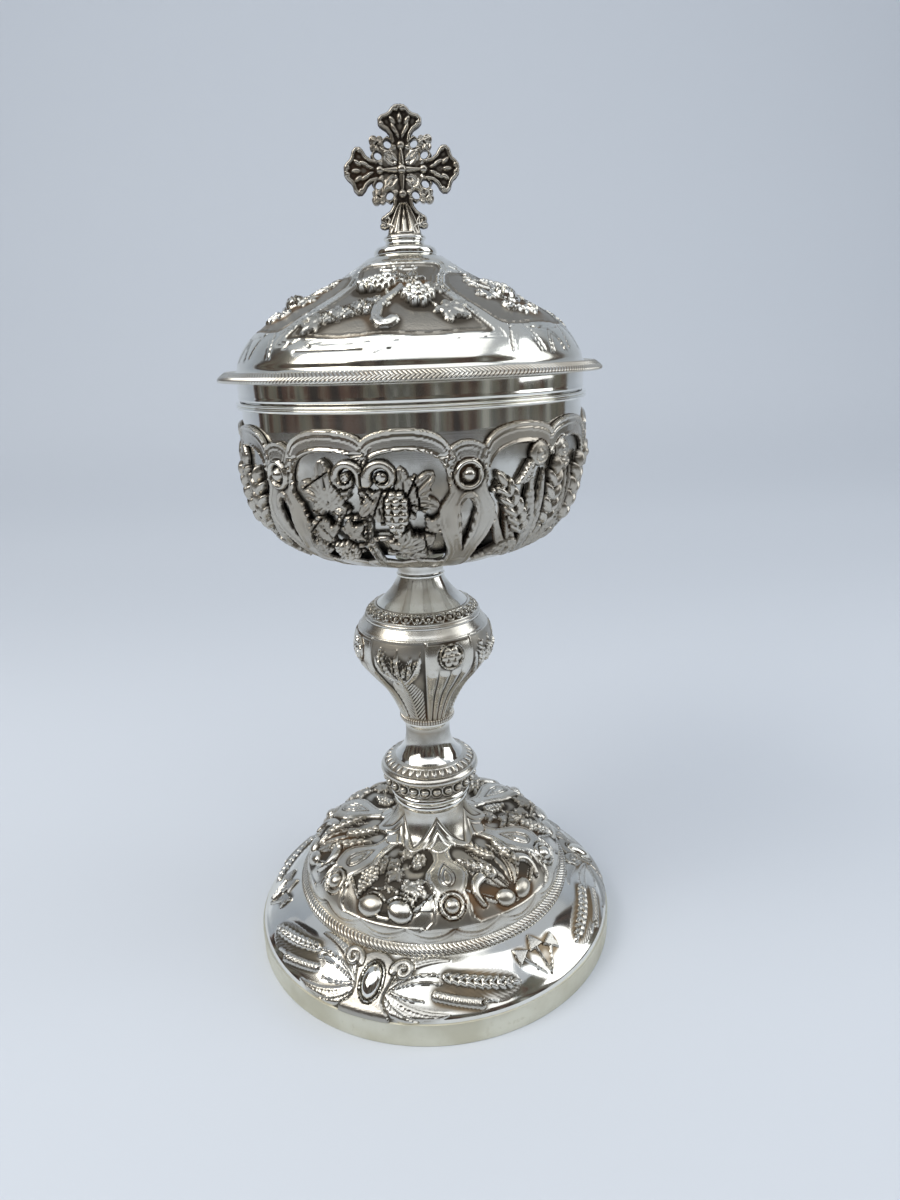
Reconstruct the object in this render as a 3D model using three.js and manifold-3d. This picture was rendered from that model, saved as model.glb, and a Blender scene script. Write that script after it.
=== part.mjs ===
// A ciborium: a covered silver cup in an openwork calyx, on a knopped stem and a raised foot.
// Millimetres, +Z up. The origin is on the stem's axis, in the plane that the foot's rim rests on.
// Angles run round the axis from the front (-Y) towards +X.
import * as THREE from "three";
import { mergeVertices } from "three/addons/utils/BufferGeometryUtils.js";
import Module from "manifold-3d";

const wasm = await Module();
wasm.setup();

// Sheet, fits and facets
const sheet = 1.0;
const solderGap = 0.3;
const boreGap = 0.3;
const largeSides = 42;
const domeSides = 48;
const calyxSides = 48;
const stemSides = 20;
const studSides = 12;
const bays = 6;
const cushionSides = 6;
const cushionBed = 0.85;

// Foot
const footRadius = 70;
const rimBandHeight = 8.8;
const rimBandWall = 1.6;
const rimEase = 0.6;
const flangeRise = 13.4;
const reedRingRadius = 53.4;
const reedRingWidth = 2.4;
const reedRingHeight = 3.0;
const domeRise = 19;
const domeCrownRadius = 33;
const domeLobeDepth = 0.9;
const firstFootPost = 7;
const postBossRadius = 3.0;
const postBossSeat = 37;
const postBossTilt = 45;
const postBossProud = 0.5;
const leafNeckHeight = 12.8;
const leafNeckRadius = 12.6;
const neckPlate = 1.4;
const neckLeaves = 12;
const neckLeafProud = 0.9;
const neckLeafTipRadius = 19;

// Stem, from the foot up
const collarHeight = 6.8;
const collarRadius = 14.6;
const collarStep = 1;
const collarSwell = 0.8;
const beadBandHeight = 7;
const beadBandRadius = 16.6;
const beadGrooveHeight = 3.9;
const beadRadius = 1.7;
const beadCount = 24;
const nodeHeight = 5.8;
const nodeRadius = 18.8;
const nodeTopRadius = 13;
const nodeOverhang = 0.6;
const nodeRidgeHeight = 1.8;
const nodeFilletHeight = 1.1;
const nodeFilletStep = 1.6;
const lowerNeckHeight = 15;
const lowerNeckRadius = 8.5;
const lowerNeckStem = 6.8;
const knopRingHeight = 2.6;
const knopRingRadius = 10.4;
const knopRingSwell = 1.2;
const knopFootRadius = 9;
const knopHeight = 39.4;
const knopRadius = 25.2;
const knopShoulderRadius = 21.2;
const knopWall = 1.6;
const fluteDepth = 0.7;
const flutes = 16;
const knopBandHeight = 4.8;
const knopBandTopRadius = 16.6;
const knopBandStep = 0.6;
const knopCapHeight = 10;
const upperNeckHeight = 6.6;
const upperNeckRadius = 8.3;
const neckFilletHeight = 0.9;
const neckFilletStep = 0.5;

// Tie rod and its fastening under the foot
const rodRadius = 3;
const rodTail = 2;
const washerRadius = 9;
const washerThickness = 1.2;
const nutWidth = 10;
const nutHeight = 5;

// Calyx and cup
const calyxRadius = 58;
const calyxSheet = 0.8;
const calyxHeight = 50;
const calyxFloorRadius = 13;
const calyxWaist = 36;
const calyxRimMargin = 1;
const firstCupPost = 15;
const postArchWidth = 11;
const postArchDrop = 5.5;
const panelArchDrop = 3.8;
const archCuspDrop = 1.5;
const cupGap = 0.3;
const cupFloorGap = 2;
const cupWall = 1.5;
const cupRise = 7;
const seatRingHeight = 2.4;
const seatRingWidth = 1.2;
const lipHeight = 5;
const lipWall = 0.7;
const bossRadius = 9;
const bossHeight = 3;

// Lid
const lidSeatGap = 0.3;
const lipGap = 0.4;
const skirtWall = 1.2;
const skirtHeight = 7.6;
const lidRise = 31.8;
const lidShoulderInset = 1.1;
const lidTopRadius = 12.6;
const firstLidBay = -8;
const flangeOverhang = 2.7;
const flangeDrop = 1.7;
const borderWidth = 3.0;
const borderHeight = 3.2;
const borderEase = 0.6;
const borderLand = 0.8;

// Finial
const finialBaseHeight = 7.1;
const finialBaseRadius = 10.2;
const finialTorusHeight = 3.6;
const finialTorusSwell = 1.4;
const finialStepRadius = 8.2;
const finialCoveHeight = 1.4;
const finialCollarHeight = 1.8;
const finialCollarSwell = 0.6;
const finialSeatRadius = 6.2;
const crossHeight = 37.1;
const crossReach = 18;
const crossThickness = 3.2;
const crossEdge = 0.5;
const armRootHalf = 2.4;
const armEndHalf = 6.6;
const armEndLength = 5;
const armTipHalf = 2;
const armTipLength = 1.1;
const rayReach = 14.4;
const rayHalf = 4.3;
const rayWide = 7.9;
const rayNeck = 10.8;
const rayNeckHalf = 1.7;
const rayBudRadius = 1.75;
const rayHoleRadius = 1.25;
const rayThickness = 1.9;
const crossBossRadius = 2.3;
const footLeafHeight = 7.6;
const footLeafClear = 0.6;
const studRadius = 2;
const studTail = 1.5;
const finialNutWidth = 7;
const finialNutHeight = 3;

// Heights of the seats between pieces
const flangeTop = rimBandHeight + flangeRise;
const footTop = flangeTop + domeRise + leafNeckHeight;
const collarTop = footTop + collarHeight;
const beadBandTop = collarTop + beadBandHeight;
const nodeTop = beadBandTop + nodeHeight;
const lowerNeckTop = nodeTop + lowerNeckHeight;
const knopRingTop = lowerNeckTop + knopRingHeight;
const knopTop = knopRingTop + knopHeight;
const knopBandTop = knopTop + knopBandHeight;
const knopCapTop = knopBandTop + knopCapHeight;
const neckTop = knopCapTop + upperNeckHeight;
const bossFoot = neckTop + calyxSheet;
const cupFoot = bossFoot + bossHeight;
const calyxTop = neckTop + calyxHeight;
const cupSeat = calyxTop + cupRise;
const lidFoot = cupSeat + lidSeatGap;
const lidFlange = lidFoot + skirtHeight + sheet;
const lidTop = lidFlange + flangeDrop + lidRise;
const finialSeat = lidTop + finialBaseHeight;
const rodBore = rodRadius + boreGap;
const studBore = studRadius + boreGap;

// Silver as it looks on each kind of surface
const silverLook = (color, roughness) => new THREE.MeshStandardMaterial({ color, roughness, metalness: 1 });
const polishedSilver = silverLook(0xd9d8d2, 0.15);
const chasedSilver = silverLook(0xb7b2a6, 0.35);
const satinSilver = silverLook(0xcfcdbf, 0.5);
const castSilver = silverLook(0xa8a294, 0.35);

const ciborium = new THREE.Group();

// Adds one named piece to the ciborium.
function piece(name, geometry, material) {
  const mesh = new THREE.Mesh(geometry, material);
  mesh.name = name;
  ciborium.add(mesh);
  return mesh;
}

// A smooth outline through points given as shares of the way from one radius and height to another.
function flowing(r0, z0, r1, z1, shares, steps) {
  const points = shares.map(([a, b]) => new THREE.Vector2(r0 + (r1 - r0) * a, z0 + (z1 - z0) * b));
  return new THREE.SplineCurve(points).getPoints(steps).map((p) => [p.x, p.y]);
}

// A quarter of an ellipse that leaves (r0, z0) upright and arrives level at (r1, z1): a cove or an ovolo.
function quarterRound(r0, z0, r1, z1, steps) {
  const points = [];
  for (let i = 0; i <= steps; i += 1) {
    const turn = (i / steps) * (Math.PI / 2);
    points.push([r0 + (r1 - r0) * (1 - Math.cos(turn)), z0 + (z1 - z0) * Math.sin(turn)]);
  }
  return points;
}

// A half-round moulding between two heights, standing proud of a radius.
function halfRound(radius, z0, z1, proud, steps) {
  const points = [];
  for (let i = 0; i <= steps; i += 1) {
    const turn = (i / steps) * Math.PI;
    points.push([radius + proud * Math.sin(turn), (z0 + z1) / 2 - ((z1 - z0) / 2) * Math.cos(turn)]);
  }
  return points;
}

// The same outline moved inwards, to the left of its run, by a wall that may change along it.
function inset(outline, wallAt) {
  return outline.map(([r, z], i) => {
    const [ra, za] = outline[Math.max(i - 1, 0)];
    const [rb, zb] = outline[Math.min(i + 1, outline.length - 1)];
    const run = Math.hypot(rb - ra, zb - za);
    const wall = wallAt(i / (outline.length - 1));
    return [r - (wall * (zb - za)) / run, z + (wall * (rb - ra)) / run];
  });
}

// Every second point of an outline, with both its ends.
const everySecond = (outline) => outline.filter((_, i) => i % 2 === 0 || i === outline.length - 1);

// Turns a closed outline round the axis. swell(angle, index) moves a point of the outline by [dr, dz].
function turned(outline, sides, swell) {
  let area = 0;
  outline.forEach(([r, z], i) => {
    const [rn, zn] = outline[(i + 1) % outline.length];
    area += r * zn - rn * z;
  });
  const order = outline.map((_, i) => i);
  if (area < 0) order.reverse();
  const ring = [...order, order[0]];
  const lathe = new THREE.LatheGeometry(ring.map((i) => new THREE.Vector2(...outline[i])), sides);
  if (swell) {
    const position = lathe.getAttribute("position");
    for (let side = 0; side <= sides; side += 1) {
      const angle = ((side % sides) / sides) * Math.PI * 2;
      ring.forEach((point, row) => {
        const [dr, dz] = swell(angle, point);
        const [r, z] = outline[point];
        position.setXYZ(side * ring.length + row, (r + dr) * Math.sin(angle), z + dz, (r + dr) * Math.cos(angle));
      });
    }
  }
  return lathe.rotateX(Math.PI / 2);
}

// A closed geometry as a solid that can be joined and cut.
function solid(geometry) {
  const loose = geometry.index ? geometry.toNonIndexed() : geometry;
  const bare = new THREE.BufferGeometry().setAttribute("position", loose.getAttribute("position"));
  const merged = mergeVertices(bare, 1e-4);
  return new wasm.Manifold(
    new wasm.Mesh({
      numProp: 3,
      vertProperties: merged.getAttribute("position").array,
      triVerts: new Uint32Array(merged.index.array),
    }),
  );
}

// A joined or cut solid as a geometry again.
function shapeOf(body) {
  const mesh = body.getMesh();
  const geometry = new THREE.BufferGeometry();
  geometry.setAttribute("position", new THREE.BufferAttribute(mesh.vertProperties, 3));
  geometry.setIndex(new THREE.BufferAttribute(mesh.triVerts, 1));
  geometry.computeVertexNormals();
  return geometry;
}

const joined = (first, others) => shapeOf(others.reduce((whole, part) => whole.add(solid(part)), solid(first)));
const cut = (first, others) => shapeOf(others.reduce((whole, part) => whole.subtract(solid(part)), solid(first)));

// Puts a geometry made about the origin at an angle, radius and height: its +Z faces outwards, raised by a tilt.
function placeOutward(geometry, degrees, radius, height, tilt = 0) {
  const angle = THREE.MathUtils.degToRad(degrees);
  return geometry
    .rotateX(Math.PI / 2 - THREE.MathUtils.degToRad(tilt))
    .rotateZ(angle)
    .translate(radius * Math.sin(angle), -radius * Math.cos(angle), height);
}

// A low cushion of few faces on a turned sheet, where the sheet is chased up into a bunch, a leaf or an ear.
// It sits where the outline comes in to a radius, and its long side leans clockwise from the way up the sheet.
function cushionOn(outline, degrees, radius, [long, wide, proud], lean) {
  const next = outline.findIndex(([r]) => r <= radius);
  const [ra, za] = outline[next - 1];
  const [rb, zb] = outline[next];
  const height = za + ((zb - za) * (ra - radius)) / (ra - rb);
  const tilt = THREE.MathUtils.radToDeg(Math.atan2(ra - rb, zb - za));
  const profile = [[0, -cushionBed], [0.8, -cushionBed], [1, 0], [0.72, 0.7 * proud], [0, proud]];
  const cushion = new THREE.LatheGeometry(profile.map(([r, z]) => new THREE.Vector2(r, z)), cushionSides);
  cushion.rotateX(Math.PI / 2).scale(wide, long, 1).rotateZ(-THREE.MathUtils.degToRad(lean));
  return placeOutward(cushion, degrees, radius, height, tilt);
}

// The same cushions in every bay of one kind, three to the round. Each is given as its angle from the middle
// of the bay, how far it lies in from the outline's foot, its half length, half width and rise, and its lean.
function inThreeBays(outline, middle, cushions) {
  const placed = [];
  for (let bay = middle; bay < middle + 360; bay += 120) {
    cushions.forEach(([turn, inward, long, wide, proud, lean]) => {
      placed.push(cushionOn(outline, bay + turn, outline[0][0] - inward, [long, wide, proud], lean));
    });
  }
  return placed;
}

// A ring with a flat foot and top and a hole for the rod, whose outer face is the given outline.
const bored = (outline, bore) => [[bore, outline[0][1]], ...outline, [bore, outline[outline.length - 1][1]]];

// Foot: the rim band is a plain upright strip with a softened upper edge
const rimBand = [
  [footRadius - rimBandWall, 0],
  [footRadius, 0],
  [footRadius, rimBandHeight - rimEase],
  [footRadius - rimEase, rimBandHeight],
  [footRadius - rimBandWall, rimBandHeight],
];
piece("foot_rim_band", turned(rimBand, largeSides), satinSilver);

// Foot: the flange climbs from the rim band to the flat seat under the reeded ring and the dome
const seatInner = reedRingRadius - reedRingWidth - solderGap - sheet;
const flangeShares = [[0, 0], [0.12, 0.17], [0.45, 0.55], [0.8, 0.88], [1, 1]];
const flangeOuter = flowing(
  footRadius - rimEase, rimBandHeight + sheet, reedRingRadius, flangeTop, flangeShares, 4,
);
const flangeUnder = everySecond(inset(flangeOuter, () => sheet));
flangeUnder[0] = [footRadius - rimBandWall - sheet, rimBandHeight];
flangeUnder[flangeUnder.length - 1] = [reedRingRadius, flangeTop - sheet];
const flange = [
  [footRadius - rimEase, rimBandHeight],
  ...flangeOuter,
  [seatInner, flangeTop],
  [seatInner, flangeTop - sheet],
  ...flangeUnder.reverse(),
];
piece("foot_flange", turned(flange, largeSides), polishedSilver);

// Foot: the reeded ring hides the joint between flange and dome
const reedInner = reedRingRadius - reedRingWidth;
const reedRing = [
  [reedInner, flangeTop],
  [reedRingRadius, flangeTop],
  ...quarterRound(reedRingRadius, flangeTop + reedRingHeight / 3, reedInner, flangeTop + reedRingHeight, 3),
];
piece("foot_reeded_ring", turned(reedRing, largeSides), chasedSilver);

// Foot: the bombe dome and the leaf neck are one raised sheet, lobed between six posts
const domeBaseRadius = reedInner - solderGap;
const domeCrown = flangeTop + domeRise;
const domeShares = [[0, 0], [0, 0.2], [0.03, 0.36], [0.16, 0.6], [0.36, 0.83], [0.62, 0.97], [1, 1]];
const domeRun = flowing(domeBaseRadius, flangeTop, domeCrownRadius, domeCrown, domeShares, 7);
const neckShares = [[0, 0], [0.35, -0.03], [0.62, 0.03], [0.8, 0.16], [0.92, 0.42], [1, 1]];
const neckRun = flowing(domeCrownRadius, domeCrown, leafNeckRadius, footTop, neckShares, 5);
const domeOuter = [...domeRun, ...neckRun.slice(1)];
const domeUnder = everySecond(inset(domeOuter, () => sheet));
domeUnder[0] = [domeBaseRadius - sheet, flangeTop];
domeUnder[domeUnder.length - 1] = [leafNeckRadius - sheet, footTop - neckPlate];
const dome = [...domeOuter, [rodBore, footTop], [rodBore, footTop - neckPlate], ...domeUnder.reverse()];
const postAngle = THREE.MathUtils.degToRad(firstFootPost);
const lobedRows = domeRun.length;
function domeRelief(angle, index) {
  if (index < 2 || index >= domeOuter.length - 1) return [0, 0];
  const [ra, za] = domeOuter[index - 1];
  const [rb, zb] = domeOuter[index + 1];
  const run = Math.hypot(rb - ra, zb - za);
  const lobe = Math.abs(Math.sin((bays / 2) * (angle - postAngle)));
  const leaf = Math.abs(Math.cos((neckLeaves / 2) * (angle - postAngle)));
  let rise = 0;
  if (index < lobedRows) rise = domeLobeDepth * lobe * Math.sin(((index - 1) / (lobedRows - 1)) * Math.PI);
  else if (domeOuter[index][0] < neckLeafTipRadius) rise = neckLeafProud * leaf;
  return [(rise * (zb - za)) / run, (-rise * (rb - ra)) / run];
}
const domeSheet = turned(dome, domeSides, domeRelief);
const postBosses = [];
const [bossSeatRadius, bossSeatHeight] = domeOuter.find(([, z]) => z >= postBossSeat);
for (let k = 0; k < bays; k += 1) {
  const post = firstFootPost + (360 / bays) * k;
  const boss = new THREE.SphereGeometry(postBossRadius, 7, 4).rotateX(Math.PI / 2).scale(1, 1, postBossProud);
  postBosses.push(placeOutward(boss, post, bossSeatRadius, bossSeatHeight, postBossTilt));
  postBosses.push(cushionOn(domeOuter, post, 0.89 * bossSeatRadius, [5, 4.2, 0.9], 0));
}

// Foot: the bays between the posts carry vines with bunches and wheat with its leaves, by turns
const footVines = inThreeBays(domeOuter, firstFootPost - 30, [
  [0, 5.4, 2.9, 6.6, 1.9, 0],
  [12.5, 8.1, 4.8, 4.6, 1.4, 0],
  [-12.5, 9.5, 4.6, 3.4, 1.9, 38],
  [-11, 21.2, 5.6, 4.4, 1.4, 50],
  [10, 23.3, 4.2, 3.6, 1.7, 0],
]);
const footWheat = inThreeBays(domeOuter, firstFootPost + 30, [
  [0, 5.7, 2.4, 5.0, 2.0, 0],
  [-7, 9.9, 4.4, 2.8, 1.5, -30],
  [7, 9.9, 4.4, 2.8, 1.5, 30],
  [-11.5, 17.3, 4.8, 2.2, 1.8, -24],
  [9.5, 17.1, 4.8, 2.2, 1.8, 20],
  [-2, 21.9, 4.8, 2.2, 1.8, -4],
]);
piece("foot_dome", joined(domeSheet, [...postBosses, ...footVines, ...footWheat]), chasedSilver);

// Stem: the collar is two turned rings between foot and node
const collarOutline = [
  ...halfRound(collarRadius - collarStep, footTop, footTop + collarHeight / 2, collarSwell, 2),
  ...halfRound(collarRadius, footTop + collarHeight / 2, collarTop, collarSwell, 2),
];
piece("stem_collar", turned(bored(collarOutline, rodBore), stemSides), polishedSilver);

// Stem: a band carries a row of round beads
const beadGrooveFoot = collarTop + (beadBandHeight - beadGrooveHeight) / 2;
const beadCentre = beadGrooveFoot + beadGrooveHeight / 2;
const beadBand = bored(
  [
    [collarRadius, collarTop],
    [beadBandRadius, beadGrooveFoot],
    [beadBandRadius, beadGrooveFoot + beadGrooveHeight],
    [nodeRadius - nodeOverhang, beadBandTop],
  ],
  rodBore,
);
const beads = [];
for (let k = 0; k < beadCount; k += 1) {
  const bead = new THREE.IcosahedronGeometry(beadRadius, 0);
  beads.push(placeOutward(bead, (360 / beadCount) * k, beadBandRadius, beadCentre));
}
piece("stem_bead_ring", joined(turned(beadBand, stemSides), beads), chasedSilver);

// Stem: the node is a flattened ring whose top slopes up to the neck
const nodeOutline = [
  [nodeRadius, beadBandTop],
  [nodeRadius, beadBandTop + nodeRidgeHeight],
  [nodeRadius - nodeFilletStep, beadBandTop + nodeRidgeHeight + nodeFilletHeight],
  [nodeTopRadius, nodeTop],
];
piece("stem_node", turned(bored(nodeOutline, rodBore), stemSides), chasedSilver);

// Stem: the lower neck is a spool, wide where it stands on the node
const lowerNeckCove = quarterRound(lowerNeckRadius, lowerNeckTop - lowerNeckStem, nodeTopRadius, nodeTop, 4);
const lowerNeck = [...lowerNeckCove.reverse(), [lowerNeckRadius, lowerNeckTop]];
piece("lower_neck", turned(bored(lowerNeck, rodBore), stemSides), polishedSilver);

// Stem: a small ring parts the neck from the knop
const knopRing = halfRound(knopRingRadius - knopRingSwell, lowerNeckTop, knopRingTop, knopRingSwell, 4);
piece("knop_foot_ring", turned(bored(knopRing, rodBore), stemSides), chasedSilver);

// Stem: the knop is a hollow vase, fluted below its widest height
const knopShares = [[0, 0], [0.09, 0.12], [0.26, 0.28], [0.55, 0.45], [0.86, 0.6], [1, 0.76], [0.93, 0.9], [0.75, 1]];
const knopShoulderShare = (knopShoulderRadius - knopFootRadius) / (knopRadius - knopFootRadius);
knopShares[knopShares.length - 1][0] = knopShoulderShare;
const knopOuter = flowing(knopFootRadius, knopRingTop, knopRadius, knopTop, knopShares, 9);
const solidKnopRows = 3;
const knopHollow = inset(knopOuter, () => knopWall).slice(solidKnopRows, -1).filter((_, i) => i % 2 === 0);
const knop = [
  ...knopOuter,
  [rodBore, knopTop],
  [rodBore, knopTop - knopWall],
  ...knopHollow.reverse(),
  [rodBore, knopHollow[knopHollow.length - 1][1]],
  [rodBore, knopRingTop],
];
const lastFlutedRow = 6;
function knopFlutes(angle, index) {
  if (index < 1 || index > lastFlutedRow) return [0, 0];
  return [-fluteDepth * (0.5 - 0.5 * Math.cos(flutes * angle)), 0];
}
piece("knop_body", turned(knop, flutes * 2, knopFlutes), chasedSilver);

// Stem: an ornamental band lies on the knop's shoulder, and a trumpet-shaped cap closes it
const knopBandFoot = knopShoulderRadius;
const knopBand = [
  [knopBandFoot, knopTop],
  [knopBandFoot, knopTop + knopBandStep],
  [knopBandTopRadius + knopBandStep, knopBandTop - knopBandStep],
  [knopBandTopRadius, knopBandTop],
];
piece("knop_band", turned(bored(knopBand, rodBore), stemSides), chasedSilver);
const capCove = quarterRound(upperNeckRadius, knopCapTop, knopBandTopRadius, knopBandTop, 5).reverse();
piece("knop_cap", turned(bored(capCove, rodBore), stemSides), polishedSilver);

// Stem: the upper neck carries the calyx
const upperNeck = [
  [upperNeckRadius, knopCapTop],
  [upperNeckRadius + neckFilletStep, knopCapTop + neckFilletHeight / 2],
  [upperNeckRadius, knopCapTop + neckFilletHeight],
  [upperNeckRadius, neckTop],
];
piece("upper_neck", turned(bored(upperNeck, rodBore), stemSides), polishedSilver);

// Calyx: a pierced sheet shell with a scalloped edge, closed below by the floor that the stem clamps
const calyxShares = [[0, 1], [0, 0.78], [0.03, 0.64], [0.12, 0.48], [0.32, 0.32], [0.68, 0.185], [1, 0.12]];
const calyxSide = flowing(calyxRadius, neckTop, calyxWaist, calyxTop, calyxShares, 5);
const calyxInside = inset(calyxSide, () => -calyxSheet);
const calyx = [
  [rodBore, neckTop],
  [calyxFloorRadius, neckTop],
  ...[...calyxSide].reverse(),
  ...calyxInside,
  [calyxFloorRadius, bossFoot],
  [rodBore, bossFoot],
];
const cupPostAngle = THREE.MathUtils.degToRad(firstCupPost);
const bayAngle = (Math.PI * 2) / bays;
// How far the scalloped edge lies below its highest arches, at an angle round the axis.
function edgeDrop(angle) {
  const fromPost = THREE.MathUtils.euclideanModulo(angle - cupPostAngle + bayAngle / 2, bayAngle) - bayAngle / 2;
  const postHalf = THREE.MathUtils.degToRad(postArchWidth) / 2;
  if (Math.abs(fromPost) < postHalf) return postArchDrop + archCuspDrop * (fromPost / postHalf) ** 2;
  const panelHalf = bayAngle / 2 - postHalf;
  const along = (Math.abs(fromPost) - postHalf) / panelHalf;
  const arch = Math.sqrt(Math.max(0, 1 - (2 * along - 1) ** 2));
  const cusp = along < 0.5 ? postArchDrop + archCuspDrop : panelArchDrop;
  return cusp * (1 - arch);
}
const outerEdgeRow = 1 + calyxSide.length;
const calyxShell = turned(calyx, calyxSides, (angle, index) => {
  const onEdge = index === outerEdgeRow || index === outerEdgeRow + 1;
  return [0, onEdge ? -edgeDrop(angle) : 0];
});

// A leaf-shaped or drop-shaped opening, as a prism to cut the calyx with: round end up, point down
function dropPrism(length, width, depth) {
  const outline = new THREE.Shape();
  outline.moveTo(0, -length / 2);
  outline.lineTo(width / 2, length * 0.12);
  outline.quadraticCurveTo(width / 2, length / 2, 0, length / 2);
  outline.quadraticCurveTo(-width / 2, length / 2, -width / 2, length * 0.12);
  outline.lineTo(0, -length / 2);
  return new THREE.ExtrudeGeometry(outline, { depth, bevelEnabled: false, curveSegments: 2 });
}
const cutterDepth = calyxRadius / 2;
const cutterStart = 2;
// Cuts of a bay: degrees from the post, share of the calyx's height, length, width and lean in degrees
const postCuts = [[0, 0.5, 15, 5, 0]];
const vineCuts = [[13, 0.69, 12, 6, 15], [17, 0.4, 10, 5, -20], [30, 0.56, 13, 6, 0], [43, 0.4, 10, 5, 20], [47, 0.69, 12, 6, -15]];
const wheatCuts = [[13, 0.62, 18, 4.5, 15], [24, 0.52, 20, 4.5, 6], [36, 0.52, 20, 4.5, -6], [47, 0.62, 18, 4.5, -15]];
const cutters = [];
for (let bay = 0; bay < bays; bay += 1) {
  const cuts = [...postCuts, ...(bay % 2 ? vineCuts : wheatCuts)];
  for (const [degrees, share, length, width, lean] of cuts) {
    const prism = dropPrism(length, width, cutterDepth).rotateZ(THREE.MathUtils.degToRad(lean));
    const at = firstCupPost + (360 / bays) * bay + degrees;
    cutters.push(placeOutward(prism, at, calyxRadius - cutterDepth + cutterStart, neckTop + calyxHeight * share));
  }
}
piece("openwork_calyx", cut(calyxShell, cutters), chasedSilver);

// Cup: a threaded boss under the cup stands on the calyx's floor
const cupBoss = [
  [rodBore, bossFoot],
  [bossRadius, bossFoot],
  [bossRadius, cupFoot],
  [rodBore, cupFoot],
];
piece("cup_boss", turned(cupBoss, stemSides), polishedSilver);

// Cup: the bowl follows the calyx inside, and its thinner lip rises past the seat for the lid
const cupSide = inset(calyxSide, (along) => -(calyxSheet + cupGap + cupFloorGap * along ** 2));
const cupRadius = cupSide[0][0];
const cupWallOuter = cupSide.filter(([, z]) => z < calyxTop - calyxRimMargin).reverse();
const cupWallInner = everySecond(inset(cupWallOuter, () => cupWall));
const lipOuter = cupRadius - cupWall + lipWall;
const lipTop = cupSeat + lipHeight;
const cupBowl = [
  [0, cupFoot],
  [bossRadius, cupFoot],
  ...cupWallOuter,
  [cupRadius, cupSeat],
  [lipOuter, cupSeat],
  [lipOuter, lipTop],
  [cupRadius - cupWall, lipTop],
  ...cupWallInner.reverse(),
  [bossRadius, cupFoot + cupWall],
  [0, cupFoot + cupWall],
];
piece("cup_bowl", turned(cupBowl, largeSides), polishedSilver);

// Cup: a double ring moulding round the cup stops the lid
const ringInner = cupRadius + solderGap;
const seatRing = [
  [ringInner, cupSeat - seatRingHeight],
  ...halfRound(ringInner + seatRingWidth / 2, cupSeat - seatRingHeight, cupSeat - seatRingHeight / 2, seatRingWidth / 2, 2),
  ...halfRound(ringInner + seatRingWidth / 2, cupSeat - seatRingHeight / 2, cupSeat, seatRingWidth / 2, 2).slice(1),
  [ringInner, cupSeat],
];
piece("cup_seat_ring", turned(seatRing, largeSides), polishedSilver);

// Tie rod: it screws into the boss under the cup and draws the whole stem down on the foot
const washerTop = footTop - neckPlate;
const nutTop = washerTop - washerThickness;
const rodFoot = nutTop - nutHeight - rodTail;
const rodHeight = cupFoot - boreGap - rodFoot;
const rod = new THREE.CylinderGeometry(rodRadius, rodRadius, rodHeight, studSides);
piece("tie_rod", rod.rotateX(Math.PI / 2).translate(0, 0, rodFoot + rodHeight / 2), satinSilver);
const washer = [
  [rodBore, nutTop],
  [washerRadius, nutTop],
  [washerRadius, washerTop],
  [rodBore, washerTop],
];
piece("tie_rod_washer", turned(washer, stemSides), satinSilver);

// A hexagon nut with a plain bore, standing on a height
function hexNut(width, height, bore, foot) {
  const across = width / Math.sqrt(3);
  const outline = new THREE.Shape();
  for (let k = 0; k < 6; k += 1) {
    const angle = (k * Math.PI) / 3;
    const corner = [across * Math.cos(angle), across * Math.sin(angle)];
    if (k) outline.lineTo(...corner);
    else outline.moveTo(...corner);
  }
  outline.holes.push(new THREE.Path().absarc(0, 0, bore, 0, Math.PI * 2, true));
  const nut = new THREE.ExtrudeGeometry(outline, { depth: height, bevelEnabled: false, curveSegments: studSides });
  return nut.translate(0, 0, foot);
}
piece("tie_rod_nut", hexNut(nutWidth, nutHeight, rodBore, nutTop - nutHeight), satinSilver);

// Lid: the skirt slides over the cup's lip
const skirtInner = lipOuter + lipGap;
const skirtOuter = skirtInner + skirtWall;
const skirtTop = lidFoot + skirtHeight;
const skirt = [
  [skirtInner, lidFoot],
  [skirtOuter, lidFoot],
  [skirtOuter, skirtTop],
  [skirtInner, skirtTop],
];
piece("lid_skirt", turned(skirt, largeSides), polishedSilver);

// Lid: the dome and its flange are one raised sheet, which rests on the skirt by a flat ledge. Its bays carry
// vines with two bunches and oval stones among leaves, by turns
const lidShoulderRadius = skirtOuter - lidShoulderInset;
const flangeEdgeRadius = skirtOuter + flangeOverhang;
const lidShares = [[0, 0], [0.03, 0.13], [0.12, 0.31], [0.29, 0.49], [0.5, 0.64], [0.75, 0.81], [1, 1]];
const flangeFoot = lidFlange + flangeDrop;
const lidRun = flowing(lidShoulderRadius, flangeFoot, lidTopRadius, lidTop, lidShares, 8);
const lidUnder = everySecond(inset(lidRun, () => sheet));
lidUnder[0] = [skirtInner, skirtTop];
lidUnder[lidUnder.length - 1] = [lidTopRadius - sheet, lidTop - sheet];
const lid = [
  [skirtOuter, skirtTop],
  [flangeEdgeRadius, lidFlange - sheet],
  [flangeEdgeRadius, lidFlange],
  ...lidRun,
  [studBore, lidTop],
  [studBore, lidTop - sheet],
  ...lidUnder.reverse(),
];
const lidVines = inThreeBays(lidRun, firstLidBay, [
  [-11, 25.2, 5.2, 5.2, 1.9, 0],
  [13.5, 20.8, 5.6, 4.9, 1.9, 8],
  [-6, 17.1, 4.4, 4.2, 1.2, -54],
  [-17, 15.6, 3.4, 3.4, 1.1, -80],
  [-28, 9.0, 3.2, 4.2, 1.1, 0],
  [14, 29.6, 3.8, 3.8, 1.2, 16],
  [27.5, 15.8, 4.6, 4.2, 1.2, 0],
]);
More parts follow.
